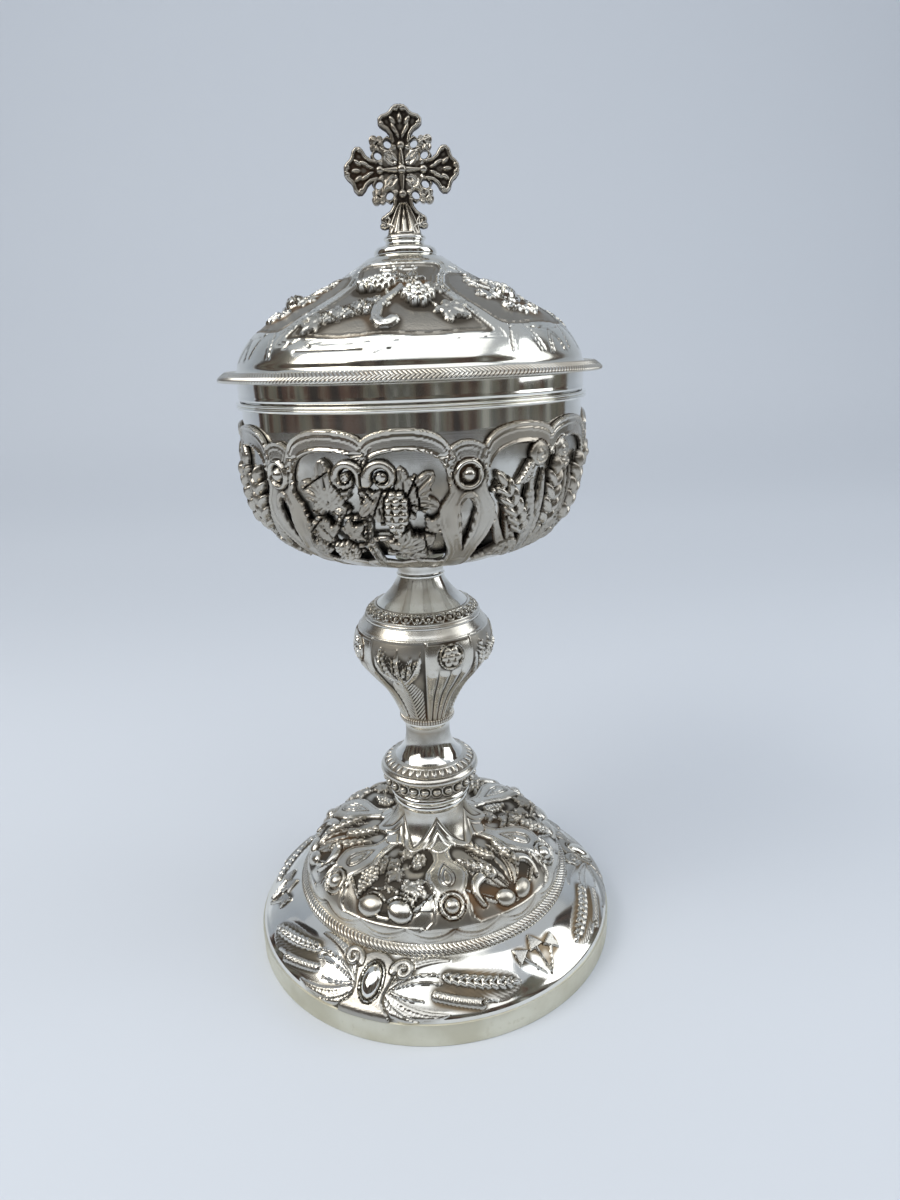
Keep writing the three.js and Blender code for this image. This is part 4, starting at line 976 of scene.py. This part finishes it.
# vine panel: a stalk down its middle, bunches and toothed leaves on both sides, and a scroll end at each arch
stalk = [(0, 33.0), (-0.6, 26.0), (0.2, 18.0), (-0.9, 10.0), (-0.4, 3.0), (0.0, -6.0)]
for side in (-0.75, 0.75):
    chase(calyx, ridge(smooth_curve(stalk, 1.6) + [[side, 0]], (0.75, 0.65), 1.2), vine, root, reach=44,
          matt=0.3)
for place in ((0, 20, 9, 19, 3.4), (0, 9, 14, 5, 2.2), (0, 18, -11, 19, 1.8), (0, 8, -14, 7, 1.6),
              (14, 4, 19, 14, -1.4), (-8, 18, -19, 10, 2.0), (-4, 4, -14, -3, -1.6), (4, 3, 12, -4, 1.6),
              (-19, 10, -22, 18, 1.0)):
    chase(calyx, tendril(bend(*place), 1.0, 0.8), vine, root, reach=36, matt=0.3)
for degrees, z, size, lean in ((-3.0, 182.6, 11.4, 46), (-11.6, 183.4, 9.0, 170), (-4.6, 167.4, 10.2, 62),
                               (-29.4, 171.6, 9.4, -66), (-26.6, 182.0, 12.8, -4),
                               (-38.5, 177.0, 5.4, -30), (5.0, 173.6, 5.2, 20), (-21.5, 172.4, 5.6, 60),
                               (-36.0, 165.4, 6.4, -40)):
    chase(calyx, vine_leaf(size, 1.9), degrees, at_height(calyx, z), lean, reach=14, matt=0.5)
for side in (-1, 1):
    curl = volute(5.4, 29.0, 4.7, 200, 1.25, hand=-1)
    chase(calyx, ridge(curl, (1.5, 0.85), 1.4), vine, root, hand=side, lift=0.2, reach=44, matt=0.2)
    chase(calyx, oval(1.5, 1.5, 1.1), vine + side * 5.4, root + 29.0, lift=0.4)
chase(calyx, grapes(1.18, (2, 3, 3, 3, 3, 2, 1), 1.2), -6.0, at_height(calyx, 178.8), 2, lift=1.3,
      reach=11, matt=0.1)
chase(calyx, grapes(1.02, (3, 4, 4, 3), 1.15), -25.0, at_height(calyx, 166.8), -12, lift=1.0, matt=0.1)

# posts: a flat plate with hollow sides and wired edges over the foliage, with a ringed ball and a drop
post_run = at_height(calyx, 189.0)
for post in (first_post, first_post + bay_width):
    across, up = across_and_up(calyx, post, post_run)
    half = np.interp(up, (-46, -36, -29, -24.5, -19, -13.5, -9, -5.0, -2.0, -0.6, 1.6, 4.2, 7.0, 12.0),
                     (3.4, 4.0, 4.2, 4.9, 7.2, 9.0, 8.4, 5.9, 5.2, 5.6, 5.0, 4.4, 5.6, 6.2))
    within = np.minimum(half - np.abs(across), inside)
    width = 2.2 * np.clip((up + 25.5) / 15.0, 0, 1) ** 0.9 * np.clip((-7.2 - up) / 2.6, 0, 1) ** 0.5
    pierced = np.where((up < -7.2) & (up > -25.5), width - np.abs(across), far_below)
    plate = band_edge(np.minimum(within, np.maximum(-pierced, 0)), wire=0.8, gap=1.9, height=1.0, land=0.5)
    rim = ridge(drop_line(20.5, 4.6), (0.5, 0.5), 0.6)
    near = (np.abs(across) < 7) & (up > -29) & (up < -3) & (pierced < 0)
    plate[near] = np.maximum(plate[near], rim(across[near], up[near] + 5.4) + 0.5)
    plate = np.where(pierced > 0, -pierced, plate)
    calyx.height = np.where(within > 0, plate, calyx.height)
    calyx.matt = np.where(within > 0, 0.3, calyx.matt)
    chase(calyx, boss(3.7, 1.9, 1.2), post, post_run, lift=0.5)

# the bottom of the sheet is whole, with a ring of small petals
scallop = np.abs(np.cos(np.radians(calyx.degrees - first_post) * 12))
petals = domed(at_height(calyx, 160.5) - calyx.run + 2.6 * scallop, 1.2, 0.5)
petals = np.where(petals > 0, petals + 0.35 * scallop, petals)
calyx.height = np.maximum(calyx.height, petals)

wide = np.hstack([calyx.height, calyx.height[:, :1]])
whole_depth = depth_of(np.tile(np.clip(calyx.height, -0.2, 9), (1, 3)), 6, 0.38)[:, :wide.shape[1]]
rows, columns, triangles = saw_out(wide)
count = len(rows)
steps = np.arange(len(calyx_outline))
base_r, base_z = [np.interp(rows, steps, part) for part in calyx_outline.T]
out_r, out_z = [np.interp(rows, steps, part) for part in outward(calyx_outline).T]
outer_set_in, inner_set_in = 0.25, 0.75
lift = np.maximum(sampled(wide, rows, columns), 0.0)
depth = sampled(whole_depth, rows, columns)
matt = sampled(np.hstack([calyx.matt, calyx.matt[:, :1]]), rows, columns)
# Each panel's inner skin, which faces the cup, is painted evenly darker (0.6) as shade between calyx and cup,
# and matted (0.6).
for third in range(3):
    angle = np.radians(first_column + columns * column_degrees + 120.0 * third)
    skins = []
    for away in (lift - outer_set_in, np.full(count, -inner_set_in)):
        r, z = base_r + away * out_r, base_z + away * out_z
        skins.append(np.stack([r * np.sin(angle), -r * np.cos(angle), z], axis=-1))
    stands_for = ["openwork_calyx"] if third == 0 else []
    make_piece(f"calyx_panel_{third + 1}", np.concatenate(skins), two_skins(triangles, count),
               pierced_silver, "stand", stands_for, np.concatenate([depth, np.full(count, 0.6)]),
               crease=60, matt=np.concatenate([matt, np.full(count, 0.6)]))

# Cup: raised from one sheet, polished outside and in, with a thinner lip that the lid slides over.
# It stands in the calyx on a threaded boss. Its outside below the calyx's top is painted darker and
# browner: painted shade where the calyx covers it.
cup_outer = smooth_curve([(0.0, 155.9), (9.0, 155.9), (20.0, 157.9), (34.6, 160.9), (43.2, 164.3),
                          (49.0, 168.9), (52.6, 173.4), (55.0, 179.0), (56.3, 185.0), (56.8, 191.0),
                          (56.9, 198.0), (56.9, 208.95)], 1.0)
cup_inner = smooth_curve([(55.4, 213.2), (55.4, 198.0), (55.3, 190.0), (54.8, 185.4), (53.4, 179.4),
                          (50.9, 174.0), (47.6, 169.9), (42.3, 165.8), (34.0, 162.4), (20.0, 159.3),
                          (9.0, 157.4), (0.0, 157.3)], 1.2)
cup_outline = np.vstack([cup_outer, [(56.1, 209.0), (56.1, 213.6), (55.9, 213.9), (55.6, 213.9)],
                         cup_inner])
# painted shade: the outside below the calyx's top is darkened to 0.56 through the patina-and-painted-shade
# attribute
cup_sides, painted_shade_top = 192, 201.5
outside = np.arange(len(cup_outline)) < len(cup_outer)
painted_darkening = np.repeat(np.where(outside & (cup_outline[:, 1] < painted_shade_top), 0.56, 0.0), cup_sides)
cup = turned_piece("polished_cup", cup_outline, cup_sides, polished_silver, "stand", ["cup_bowl"],
                   patina_and_painted_shade=painted_darkening)
inner_faces = bmesh.new()
inner_faces.from_mesh(cup.data)
bmesh.ops.remove_doubles(inner_faces, verts=inner_faces.verts, dist=1e-6)
inner_faces.to_mesh(cup.data)
inner_faces.free()

# Seat ring: two half-round wires soldered round the cup, on which the lid's skirt comes to rest.
# Both are polished.
seat_side = smooth_curve([(57.25, 206.65), (58.3, 206.9), (58.55, 207.4), (58.2, 207.85), (57.85, 207.95),
                          (58.3, 208.1), (58.6, 208.5), (58.3, 208.85), (57.6, 208.97)], 0.18)
seat_outline = np.vstack([seat_side, [(57.2, 208.97), (57.2, 206.65)]])
turned_piece("seat_wires", seat_outline, 240, polished_silver, "stand", ["cup_seat_ring"])

# Lid: a skirt that slides over the cup's lip, and a raised dome chased with six bays. Bays of vine leaves
# and bunches on a matted ground stand between bays with an oval cabochon, parted by plain polished straps.
skirt_outline = round_over([(56.5, 209.35), (57.6, 209.35), (57.75, 210.3), (57.55, 211.0),
                            (57.7, 216.88), (56.5, 216.88)], 0.25)
turned_piece("lid_skirt_band", skirt_outline, 240, polished_silver, "lid", ["lid_skirt"])

lid_silver = silver("lid silver", "chased_silver", Clean=(0.87, 0.86, 0.80), Haze=(0.70, 0.66, 0.55),
                    Haziness=0.5, Polish=0.1, Scratches=0.45, Deep=(0.11, 0.096, 0.078),
                    Rust=(0.28, 0.17, 0.085))
lid_outline = smooth_curve([(60.3, 217.95), (58.4, 218.2), (57.0, 219.0), (56.7, 220.4), (55.7, 222.6),
                            (53.6, 226.0), (50.9, 229.1), (47.7, 231.9), (44.1, 234.4), (40.3, 236.6),
                            (36.3, 238.6), (32.1, 240.6), (27.9, 242.5), (23.7, 244.6), (19.6, 246.8),
                            (15.7, 249.3), (12.6, 251.35)], 0.45)
lid = mark_out(lid_outline - 0.25 * outward(lid_outline), 678, 3)
vine, stone = -8.0, 52.0
half_angle = np.interp(lid.radius, (15, 17, 20, 24, 29, 35, 41, 47, 52, 56),
                       (45, 43, 38, 29, 24.5, 24.5, 27, 31, 35, 38))
sheet_lift, rounding = 0.42, 1.2
lid.height = np.maximum(lid.height, sheet_lift * np.clip((lid.run - 2.4) / 1.2, 0, 1))
for centre, foot, head in ((vine, 52.4, 16.6), (stone, 50.0, 21.5)):
    across, up = across_and_up(lid, centre, 0.0)
    if centre == vine:
        half = np.radians(half_angle) * lid.radius
    else:
        strap = np.interp(lid.radius, (20, 30, 45, 55), (3.4, 3.4, 4.4, 6.0))
        half = np.radians(bay_width - half_angle) * lid.radius - strap
    ends = np.minimum(up - at_radius(lid, foot) - 0.4 * np.cos(across / 4.0), at_radius(lid, head) - up)
    sides_in = (half - np.abs(across)) * 0.9
    inside = -np.log(np.exp(-sides_in * rounding) + np.exp(-ends * rounding)) / rounding + 0.45
    engraved = 0.2 * soft_groove(inside + 1.5, 0.22) + 0.16 * soft_groove(inside + 0.75, 0.2)
    wire = round_wire(inside - 1.5, 0.3, 0.3)
    low = np.clip(inside / 0.4, 0, 1)
    lid.height = np.where(inside > -3, lid.height - sheet_lift * low - engraved, lid.height)
    lid.height = np.where(inside > 0.8, np.maximum(lid.height, wire), lid.height)
    lid.matt = np.where(inside > 0.2, 1.0, lid.matt)

# engraved double line on the polished shoulder, with a bump at the middle of the bay, then up over an arch
across, up = across_and_up(lid, vine, 0.0)
bump = 1.3 * soft_groove(across + 2.0, 2.2) - 1.5 * np.clip((across - 3.0) / 1.6, 0, 1)
for offset, deep in ((0.0, 0.24), (0.75, 0.14)):
    groove = soft_groove(up - at_radius(lid, 54.9) + bump + offset, 0.24) * (np.abs(across + 0.5) < 27)
    lid.height = lid.height - deep * groove
for degrees in (stone - 14.5, stone + 14.5):
    for inset in (0.0, 1.5):
        arch = bend(inset - 6.4, -3.0, 6.4 - inset, -3.0, 10.5 - 1.4 * inset, 17)
        engrave(lid, arch, 0.34, 0.3 - 0.1 * inset, degrees, at_radius(lid, 54.2), reach=12)
for inset in (0.0, 1.2):
    engrave(lid, bend(inset - 4.6, -2.6, 4.6 - inset, -2.6, 7.4 - 1.3 * inset, 15), 0.3, 0.24, stone,
            at_radius(lid, 55.0), reach=12)
engrave(lid, bend(-7.4, 4.6, 7.4, 4.6, -1.0), 0.3, 0.22, stone, at_radius(lid, 54.2), reach=12)

# vine bay: a curled stalk from below, two bunches and toothed leaves, and a row of leaves trailing down
# to the left
for *place, wide in ((0.6, 2.0, -1.6, 18.0, 1.6, 0.7), (0, 0.0, -9, -4.5, -1.8, 0.6),
                     (0.4, 4.0, 8.0, -1.0, 2.2, 0.6), (-1.0, 10, 4.0, 15, 1.0, 0.5),
                     (-9, -4.5, -25, -9.5, -1.8, 0.5), (8, -1.0, 15, -6.0, 1.2, 0.5)):
    chase(lid, tendril(bend(*place), 0.85, wide), vine, at_radius(lid, 39.5), reach=34, matt=0.35)
stem = smooth_curve([(2.4, 9.0), (0.9, 4.0), (-1.4, -1.0), (-2.6, -6.0), (-2.0, -10.4), (0.4, -12.2),
                     (2.4, -10.4)], 1.2)
for degrees, radius, size, lean in ((14.0, 44.4, 8.0, 128), (-11.8, 43.0, 8.0, -62),
                                    (-18.8, 43.8, 6.0, -84), (-25.4, 45.8, 6.4, -80),
                                    (-32.6, 48.4, 6.8, -88), (0.5, 27.0, 6.8, 20), (-9.0, 24.0, 4.6, -60),
                                    (10.6, 33.0, 5.8, 74)):
    chase(lid, vine_leaf(size, 1.3), degrees, at_radius(lid, radius), lean, lift=0.1, matt=0.45)
for degrees, radius, lean in ((-18.0, 30.2, 52), (4.5, 38.6, 4)):
    chase(lid, grapes(1.3, (3, 4, 4, 3, 2), 1.3), degrees, at_radius(lid, radius), lean, lift=0.5, matt=0.1)
chase(lid, ridge(stem, (0.9, 1.9), 1.1), vine, at_radius(lid, 39.5), lift=0.3, reach=16, matt=0.3)
for side in (-0.55, 0.55):
    engrave(lid, stem[:-2] + [[side, 0.0]], 0.28, 0.3, vine, at_radius(lid, 39.5), reach=16)
for side in (-1, 1):
    chase(lid, oval_ring(2.6, 1.3, 0.3, 0.4), vine + side * 9.5, at_radius(lid, 18.6))

# cabochon bay: a raised oval in a wired rim with flowers and leaves on either side
chase(lid, oval(4.2, 3.3, 2.6), stone, at_radius(lid, 37.6), lift=0.4)
chase(lid, oval_ring(5.0, 4.1, 0.6, 0.9), stone, at_radius(lid, 37.6), lift=0.15)
for side in (-1, 1):
    chase(lid, rosette(2.0), stone + side * 9.0, at_radius(lid, 43.6), lift=0.4)
    chase(lid, vine_leaf(4.8, 1.3), stone + side * 11.6, at_radius(lid, 37.0), side * 84, lift=0.1,
          matt=0.45)
    chase(lid, vine_leaf(4.0, 1.2), stone + side * 8.6, at_radius(lid, 30.0), side * 30, lift=0.1,
          matt=0.45)
    chase(lid, ridge(volute(3.0, -6.6, 2.3, 110, 1.15), (0.6, 0.4), 0.9), stone, at_radius(lid, 39.6),
          hand=side, reach=12)
    chase(lid, tendril(bend(0.5, 3, 4.5, 11, -1.4), 0.7), stone, at_radius(lid, 36.0), hand=side, reach=15)
chase(lid, vine_leaf(4.2, 1.2), stone, at_radius(lid, 26.0), 0, lift=0.1, matt=0.45)
lid_under = [(2.3, 251.4), (2.3, 250.4), (11.6, 250.4), (20.6, 245.9), (28.8, 241.6), (37.0, 237.6),
             (43.3, 234.2), (49.4, 229.4), (52.9, 225.6), (54.8, 221.6), (55.6, 218.6), (56.5, 216.9),
             (60.4, 216.9)]
raise_sheet("chased_lid", lid, lid_under, lid_silver, "lid", ["lid_dome"])

# Border of the lid: a wire soldered to the edge of its flange, milled with two rows of fine ribs that meet
# in a herringbone, with a plain rim outside it.
border_side = smooth_curve([(62.9, 215.22), (63.55, 215.5), (63.7, 216.1), (63.2, 216.8), (62.2, 217.6),
                            (61.2, 218.3), (60.75, 218.4)], 0.22)
border_outline = np.vstack([border_side, [(60.7, 218.3), (60.7, 215.25), (62.0, 215.2)]])
reeded_piece("gadrooned_border", border_outline, sides=1800, reeds=300, slant=0.13, depth=0.34, first=3,
             last=len(border_side) - 3, body="lid", stands_for="lid_border", fold=len(border_side) // 2 + 1)

# Base of the finial: two turned mouldings on the crown of the lid.
# The cross's screw goes down through it to a nut inside the lid.
base_side = [(9.0, 251.45), (10.0, 252.1), (10.25, 253.1), (9.9, 254.2), (8.9, 254.95), (7.4, 255.3),
             (6.5, 255.9), (6.25, 256.6), (6.7, 257.1), (6.85, 257.7), (6.4, 258.2), (5.8, 258.47)]
base = np.vstack([smooth_curve(base_side, 0.3), [(2.3, 258.47), (2.3, 251.42)]])
turned_piece("finial_mouldings", base, 128, polished_silver, "lid", ["finial_base"])

# Cross: cast in one piece with the foliage between its arms sawn through, then filed and burnished.
# Both faces are alike. It is greyer than the sheet and brown in its hollows.
cast_silver = silver("cast silver", "cast_silver", Clean=(0.53, 0.50, 0.44), Haze=(0.30, 0.26, 0.205),
                     Haziness=0.75, Polish=0.2, Scratches=0.4, Deep=(0.05, 0.04, 0.032),
                     Rust=(0.16, 0.09, 0.05))
cross_centre, cross_foot = 277.4, 258.5
left, low, cell = -18.6, -19.4, 0.19
cross_x = left + cell * np.arange(196)[None, :]
cross_z = low + cell * np.arange(202)[:, None]
cross = SimpleNamespace(height=np.full((cross_z.size, cross_x.size), far_below))


def cast_on(motif, turn, lift=0.0):
    """Adds a motif to the cross, turned clockwise about its centre, where it stands higher than the rest."""
    a = np.radians(turn)
    x, y = cross_x * np.cos(a) - cross_z * np.sin(a), cross_x * np.sin(a) + cross_z * np.cos(a)
    height = motif(x, y)
    cross.height = np.maximum(cross.height, np.where(height > 0, height + lift, height))


def flared_arm(reach):
    """An arm with a thin neck that flares in an ogee to a wide end with a pointed middle. Its edge is a path
    from the neck out, alike on both sides, and a round wire lies on it."""
    edge = np.array([(2.5, -2.0), (2.4, 5.0), (2.4, 8.0), (2.8, 10.0), (3.9, 11.5), (5.4, 12.4),
                     (6.2, 13.2), (6.2, 14.1), (5.4, 14.9), (4.0, 15.25), (2.9, 15.9), (2.1, 16.9),
                     (1.2, 17.6), (0.3, 17.65)]) * [1, (reach - 0.5) / 17.65]
    rim = ridge(edge[2:], (0.6, 0.6), 1.3)

    def motif(x, y):
        half = np.interp(y, edge[:, 1], edge[:, 0])
        inside = np.minimum(np.minimum((half - np.abs(x)) * 0.85, edge[-1, 1] - y), y + 2.0)
        return np.maximum(rim(np.abs(x), y), np.where(inside > 0, 0.2, inside))
    return motif


def palmette(x, y):
    """Petals that fan out in the end of an arm, in three rows: three, two and two."""
    best = np.full(x.shape, far_below)
    for cx, cy, lean, long, wide in ((0, 14.3, 0, 1.6, 0.85), (2.3, 13.8, 38, 1.5, 0.8),
                                     (1.9, 11.5, 26, 1.8, 0.75), (0.95, 10.0, 20, 1.4, 0.6)):
        for side in (-1, 1):
            best = np.maximum(best, almond(x, y, side * cx, cy, long, wide, side * lean, 1.4))
    return best


def ball(across, along, radius):
    """A ball on the casting: 1.2 times the square root of its radius squared less the distance squared."""
    def motif(x, y):
        away = np.hypot(np.abs(x) - across, y - along)
        return np.where(away < radius, np.sqrt(np.maximum(radius * radius - away * away, 0)) * 1.2,
                        radius - away)
    return motif


def foliage_ray(x, y):
    """A sprig between two arms: a stem with an oval hole on either side, a curled leaf across and a bud at
    its tip with a knot on either side."""
    body = np.minimum(np.minimum(4.4 - np.abs(x) + 0.12 * y, 10.6 - y - 0.25 * np.abs(x)), y + 1.0)
    holes = np.hypot((np.abs(x) - 2.25) / 0.85, (y - 8.1) / 1.05) - 1.3
    knots = np.maximum(1.0 - np.hypot(np.abs(x) - 1.5, y - 10.7), 1.35 - np.hypot(x, y - 12.0))
    inside = np.maximum(np.minimum(np.minimum(body, 4.0 - np.abs(x)), holes), knots)
    ribs = 0.25 + (0.35 + 0.35 * np.cos(np.abs(x) * 3.0 + y * 1.6)) * np.clip((y - 5.2) / 1.2, 0, 1)
    return np.where(inside > 0, domed(inside, 0.7, 1.0) * ribs * 1.3, inside)


def corner_leaf(x, y):
    """The leaf between two arms near the centre: three ribs side by side and a dark slit eye in it."""
    leaf = almond(x, y, 0.0, 4.4, 2.4, 1.7, 0, 1.3)
    ribs = 0.7 + 0.3 * np.cos(2 * np.pi * np.abs(x) / 1.3)
    eye = 1.4 * soft_groove(np.hypot(x / 0.42, (y - 3.7) / 0.9), 1.0)
    return np.where(leaf > 0, np.maximum(leaf * ribs - eye, 0.05), leaf)


def foot_leaf(x, y):
    """The acanthus leaf at the cross's foot: a rounded cone of ribs that fan out from its tip, with a
    pointed eye near the top."""
    long = np.clip((y - 9.6) / 9.4, 0, 1)
    half = 1.2 + 4.3 * long ** 0.7
    inside = np.minimum(half - np.abs(x), np.minimum(y - 9.2, 19.4 - y))
    ribs = 0.7 + 0.3 * np.cos(26.0 * np.arctan2(np.abs(x), y - 7.0))
    eye = 0.9 * soft_groove(np.hypot(x / 0.45, (y - 11.4) / 0.8), 1.0)
    eye = eye + 0.6 * soft_groove(np.hypot(x / 0.35, (y - 14.8) / 1.2), 1.0)
    return np.where(inside > 0, domed(inside, 1.4, 1.9) * ribs - eye, inside)


for turn, reach in ((0, 18.15), (90, 18.0), (-90, 18.0), (180, 19.2)):
    cast_on(flared_arm(reach), turn)
    if turn != 180:
        cast_on(palmette, turn, 0.2)
        cast_on(ball(1.05, 17.1, 0.95), turn, 0.3)
        cast_on(ball(5.7, 12.9, 0.8), turn, 0.6)
    cast_on(ball(0.0, 6.9, 1.25), turn, 0.3)
    cast_on(ridge([(0, 0), (0, 5.6)], (1.15, 0.45), 1.15), turn, 0.3)
for turn in (45, 135, -45, -135):
    cast_on(foliage_ray, turn)
    cast_on(ball(0.0, 6.9, 0.7), turn, 0.6)
    cast_on(corner_leaf, turn, 0.2)
cast_on(ball(0.0, 0.0, 1.45), 0, 1.4)
for side in (-1, 1):
    cast_on(lambda x, y, s=side: ridge(volute(6.0, 14.6, 1.7, 60, 1.2), (0.8, 0.5), 1.2)(s * x, y), 180)
cast_on(foot_leaf, 180, 0.3)
cross.height = np.where(cross_z + cross_centre < cross_foot + 0.1, -0.5, cross.height)
cross.height[[0, -1], :] = -1.0
cross.height[:, [0, -1]] = -1.0
rows, columns, triangles = saw_out(cross.height)
lift = np.maximum(sampled(cross.height, rows, columns), 0.0)
depth = sampled(depth_of(np.maximum(cross.height, 0.0), 4, 0.4), rows, columns)
x, z = left + cell * columns, low + cell * rows + cross_centre
swell = np.clip(1 - (z - cross_foot) / 8.5, 0, 1) ** 1.5 * np.sqrt(np.clip(1 - (x / 5.2) ** 2, 0, 1))
half_thick = 1.15 + 2.6 * swell + 0.75 * lift
front, back = [np.stack([x, side * half_thick, z], axis=-1) for side in (-1, 1)]
make_piece("cast_cross", np.concatenate([front, back]), two_skins(triangles, len(rows)), cast_silver, "lid",
           ["cross_finial"], np.concatenate([depth, depth]), crease=60)

# Socket of the cross: a short round tang under its foot leaf that sits on the finial's base.
# Its screw, the nut inside the lid, and the rod, washer and nut under the foot are left as cast and turned.
tang = smooth_curve([(2.3, 258.55), (5.3, 258.55), (5.3, 259.0), (4.2, 259.6), (2.4, 260.4),
                     (1.2, 262.5)], 0.25)
tang_outline = np.vstack([tang, [(0.0, 262.8), (0.0, 245.9), (2.0, 245.9), (2.0, 258.55)]])
turned_piece("cross_tang", tang_outline, 64, cast_silver, "lid")
for node in ("cup_boss", "tie_rod", "tie_rod_washer", "tie_rod_nut", "finial_nut"):
    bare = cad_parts[node]
    bare.data.materials.clear()
    bare.data.materials.append(satin_silver.look)

# Table and wall: a plain pale sweep, so that the silver shows it too. Not part of the ciborium.
# It runs level under the foot and bends up behind it.


def stage_sheet(name, look_name, grid):
    """A smooth sheet through a grid of places, with a dull look. Gives the sheet and its look's nodes."""
    corner = np.arange(grid.shape[0] * grid.shape[1]).reshape(grid.shape[:2])
    faces = np.stack([corner[:-1, :-1], corner[:-1, 1:], corner[1:, 1:], corner[1:, :-1]], axis=-1)
    mesh = bpy.data.meshes.new(name)
    mesh.from_pydata(grid.reshape(-1, 3), [], faces.reshape(-1, 4).tolist())
    mesh.shade_smooth()
    look = bpy.data.materials.new(look_name)
    look.use_nodes = True
    look.node_tree.nodes["Principled BSDF"].inputs["Roughness"].default_value = 0.9
    mesh.materials.append(look)
    sheet = bpy.data.objects.new(name, mesh)
    bpy.context.scene.collection.objects.link(sheet)
    return sheet, look.node_tree


sweep = smooth_curve([(-1.6, 0.0), (0.2, 0.0), (0.75, 0.0), (1.15, 0.12), (1.3, 0.5), (1.3, 1.6)], 0.05)
across = np.linspace(-2.2, 2.2, 3)
grid = np.stack(np.broadcast_arrays(across[None, :], sweep[:, :1], sweep[:, 1:]), axis=-1)
floor, cloth = stage_sheet("sweep", "pale sweep", grid)
cloth.nodes["Principled BSDF"].inputs["Base Color"].default_value = (0.66, 0.69, 0.73, 1)


# Studio: a cool even sky, a very large soft lamp overhead and in front, one high on the left and a faint
# one on the right.
world = bpy.data.worlds.new("studio")
bpy.context.scene.world = world
world.use_nodes = True
sky = world.node_tree.nodes["Background"]
sky.inputs["Color"].default_value = (0.80, 0.86, 0.95, 1)
sky.inputs["Strength"].default_value = 0.55


def soft_lamp(name, place, target, width, height, watts, colour):
    """A rectangular lamp at a place, turned so that it faces the target."""
    light = bpy.data.lights.new(name, "AREA")
    light.shape = "RECTANGLE"
    light.size, light.size_y = width, height
    light.energy, light.color = watts, colour
    lamp = bpy.data.objects.new(name, light)
    lamp.location = place
    away = Vector(place) - Vector(target)
    lamp.rotation_euler = away.to_track_quat("Z", "Y").to_euler()
    bpy.context.scene.collection.objects.link(lamp)


soft_lamp("sky", (0.0, -0.55, 1.45), (0, 0, 0.2), 2.1, 1.3, 8.5, (0.98, 0.99, 1.0))
soft_lamp("window", (-0.9, -0.45, 1.05), (0, 0, 0.15), 0.9, 0.7, 8, (1.0, 0.98, 0.94))
soft_lamp("side", (1.15, -0.1, 0.7), (0, 0, 0.15), 0.7, 0.9, 4, (0.92, 0.96, 1.0))


# The room in front: a tall dull screen bent round the ciborium, out of the camera's sight, for the polished
# silver to show. Its colour changes in upright bands of brown, olive and grey.
turn = np.radians(np.linspace(118, -118, 60))[None, :]
tall = np.linspace(-0.02, 1.32, 12)[:, None]
screen_r = 1.45
grid = np.stack(np.broadcast_arrays(screen_r * np.sin(turn), -screen_r * np.cos(turn), tall), axis=-1)
room, dull = stage_sheet("room", "dull room", grid)
nodes, links = dull.nodes, dull.links
place = nodes.new("ShaderNodeTexCoord").outputs["Object"]
stretch = nodes.new("ShaderNodeMapping")
stretch.inputs["Scale"].default_value = (2.3, 2.3, 0.28)
links.new(place, stretch.inputs["Vector"])
bands = nodes.new("ShaderNodeTexNoise")
bands.inputs["Scale"].default_value = 1.6
bands.inputs["Detail"].default_value = 3.0
links.new(stretch.outputs["Vector"], bands.inputs["Vector"])
tones = nodes.new("ShaderNodeValToRGB")
tones.color_ramp.elements[0].position, tones.color_ramp.elements[0].color = 0.36, (0.030, 0.024, 0.020, 1)
tones.color_ramp.elements[1].position, tones.color_ramp.elements[1].color = 0.66, (0.42, 0.41, 0.36, 1)
for position, colour in ((0.44, (0.10, 0.055, 0.040, 1)), (0.50, (0.17, 0.16, 0.12, 1)),
                         (0.57, (0.07, 0.065, 0.055, 1))):
    tones.color_ramp.elements.new(position).color = colour
links.new(bands.outputs["Fac"], tones.inputs["Fac"])
links.new(tones.outputs["Color"], nodes["Principled BSDF"].inputs["Base Color"])
room.visible_camera = False
room.visible_shadow = False
room.visible_diffuse = False

# Camera: a telephone's view, standing 36 cm in front of the stem at the height of the cup,
# 17 degrees down and tilted two degrees as it was held.
pitch, roll, yaw = 0.3006058, -0.0361170, 0.0365200
ahead = Vector((np.sin(yaw) * np.cos(pitch), np.cos(yaw) * np.cos(pitch), -np.sin(pitch)))
level = Vector((np.cos(yaw), -np.sin(yaw), 0.0))
plumb = level.cross(ahead)
right = level * np.cos(roll) + plumb * np.sin(roll)
view = Matrix((right, right.cross(ahead), -ahead)).transposed().to_4x4()
view.translation = (0.0, -0.28355, 0.22266)
lens = bpy.data.cameras.new("camera")
lens.sensor_fit, lens.sensor_height, lens.lens = "VERTICAL", 36.0, 24.15
lens.clip_start = 0.01
camera = bpy.data.objects.new("camera", lens)
camera.matrix_world = view
bpy.context.scene.collection.objects.link(camera)
bpy.context.scene.camera = camera
bpy.context.scene.view_settings.view_transform = "Standard"
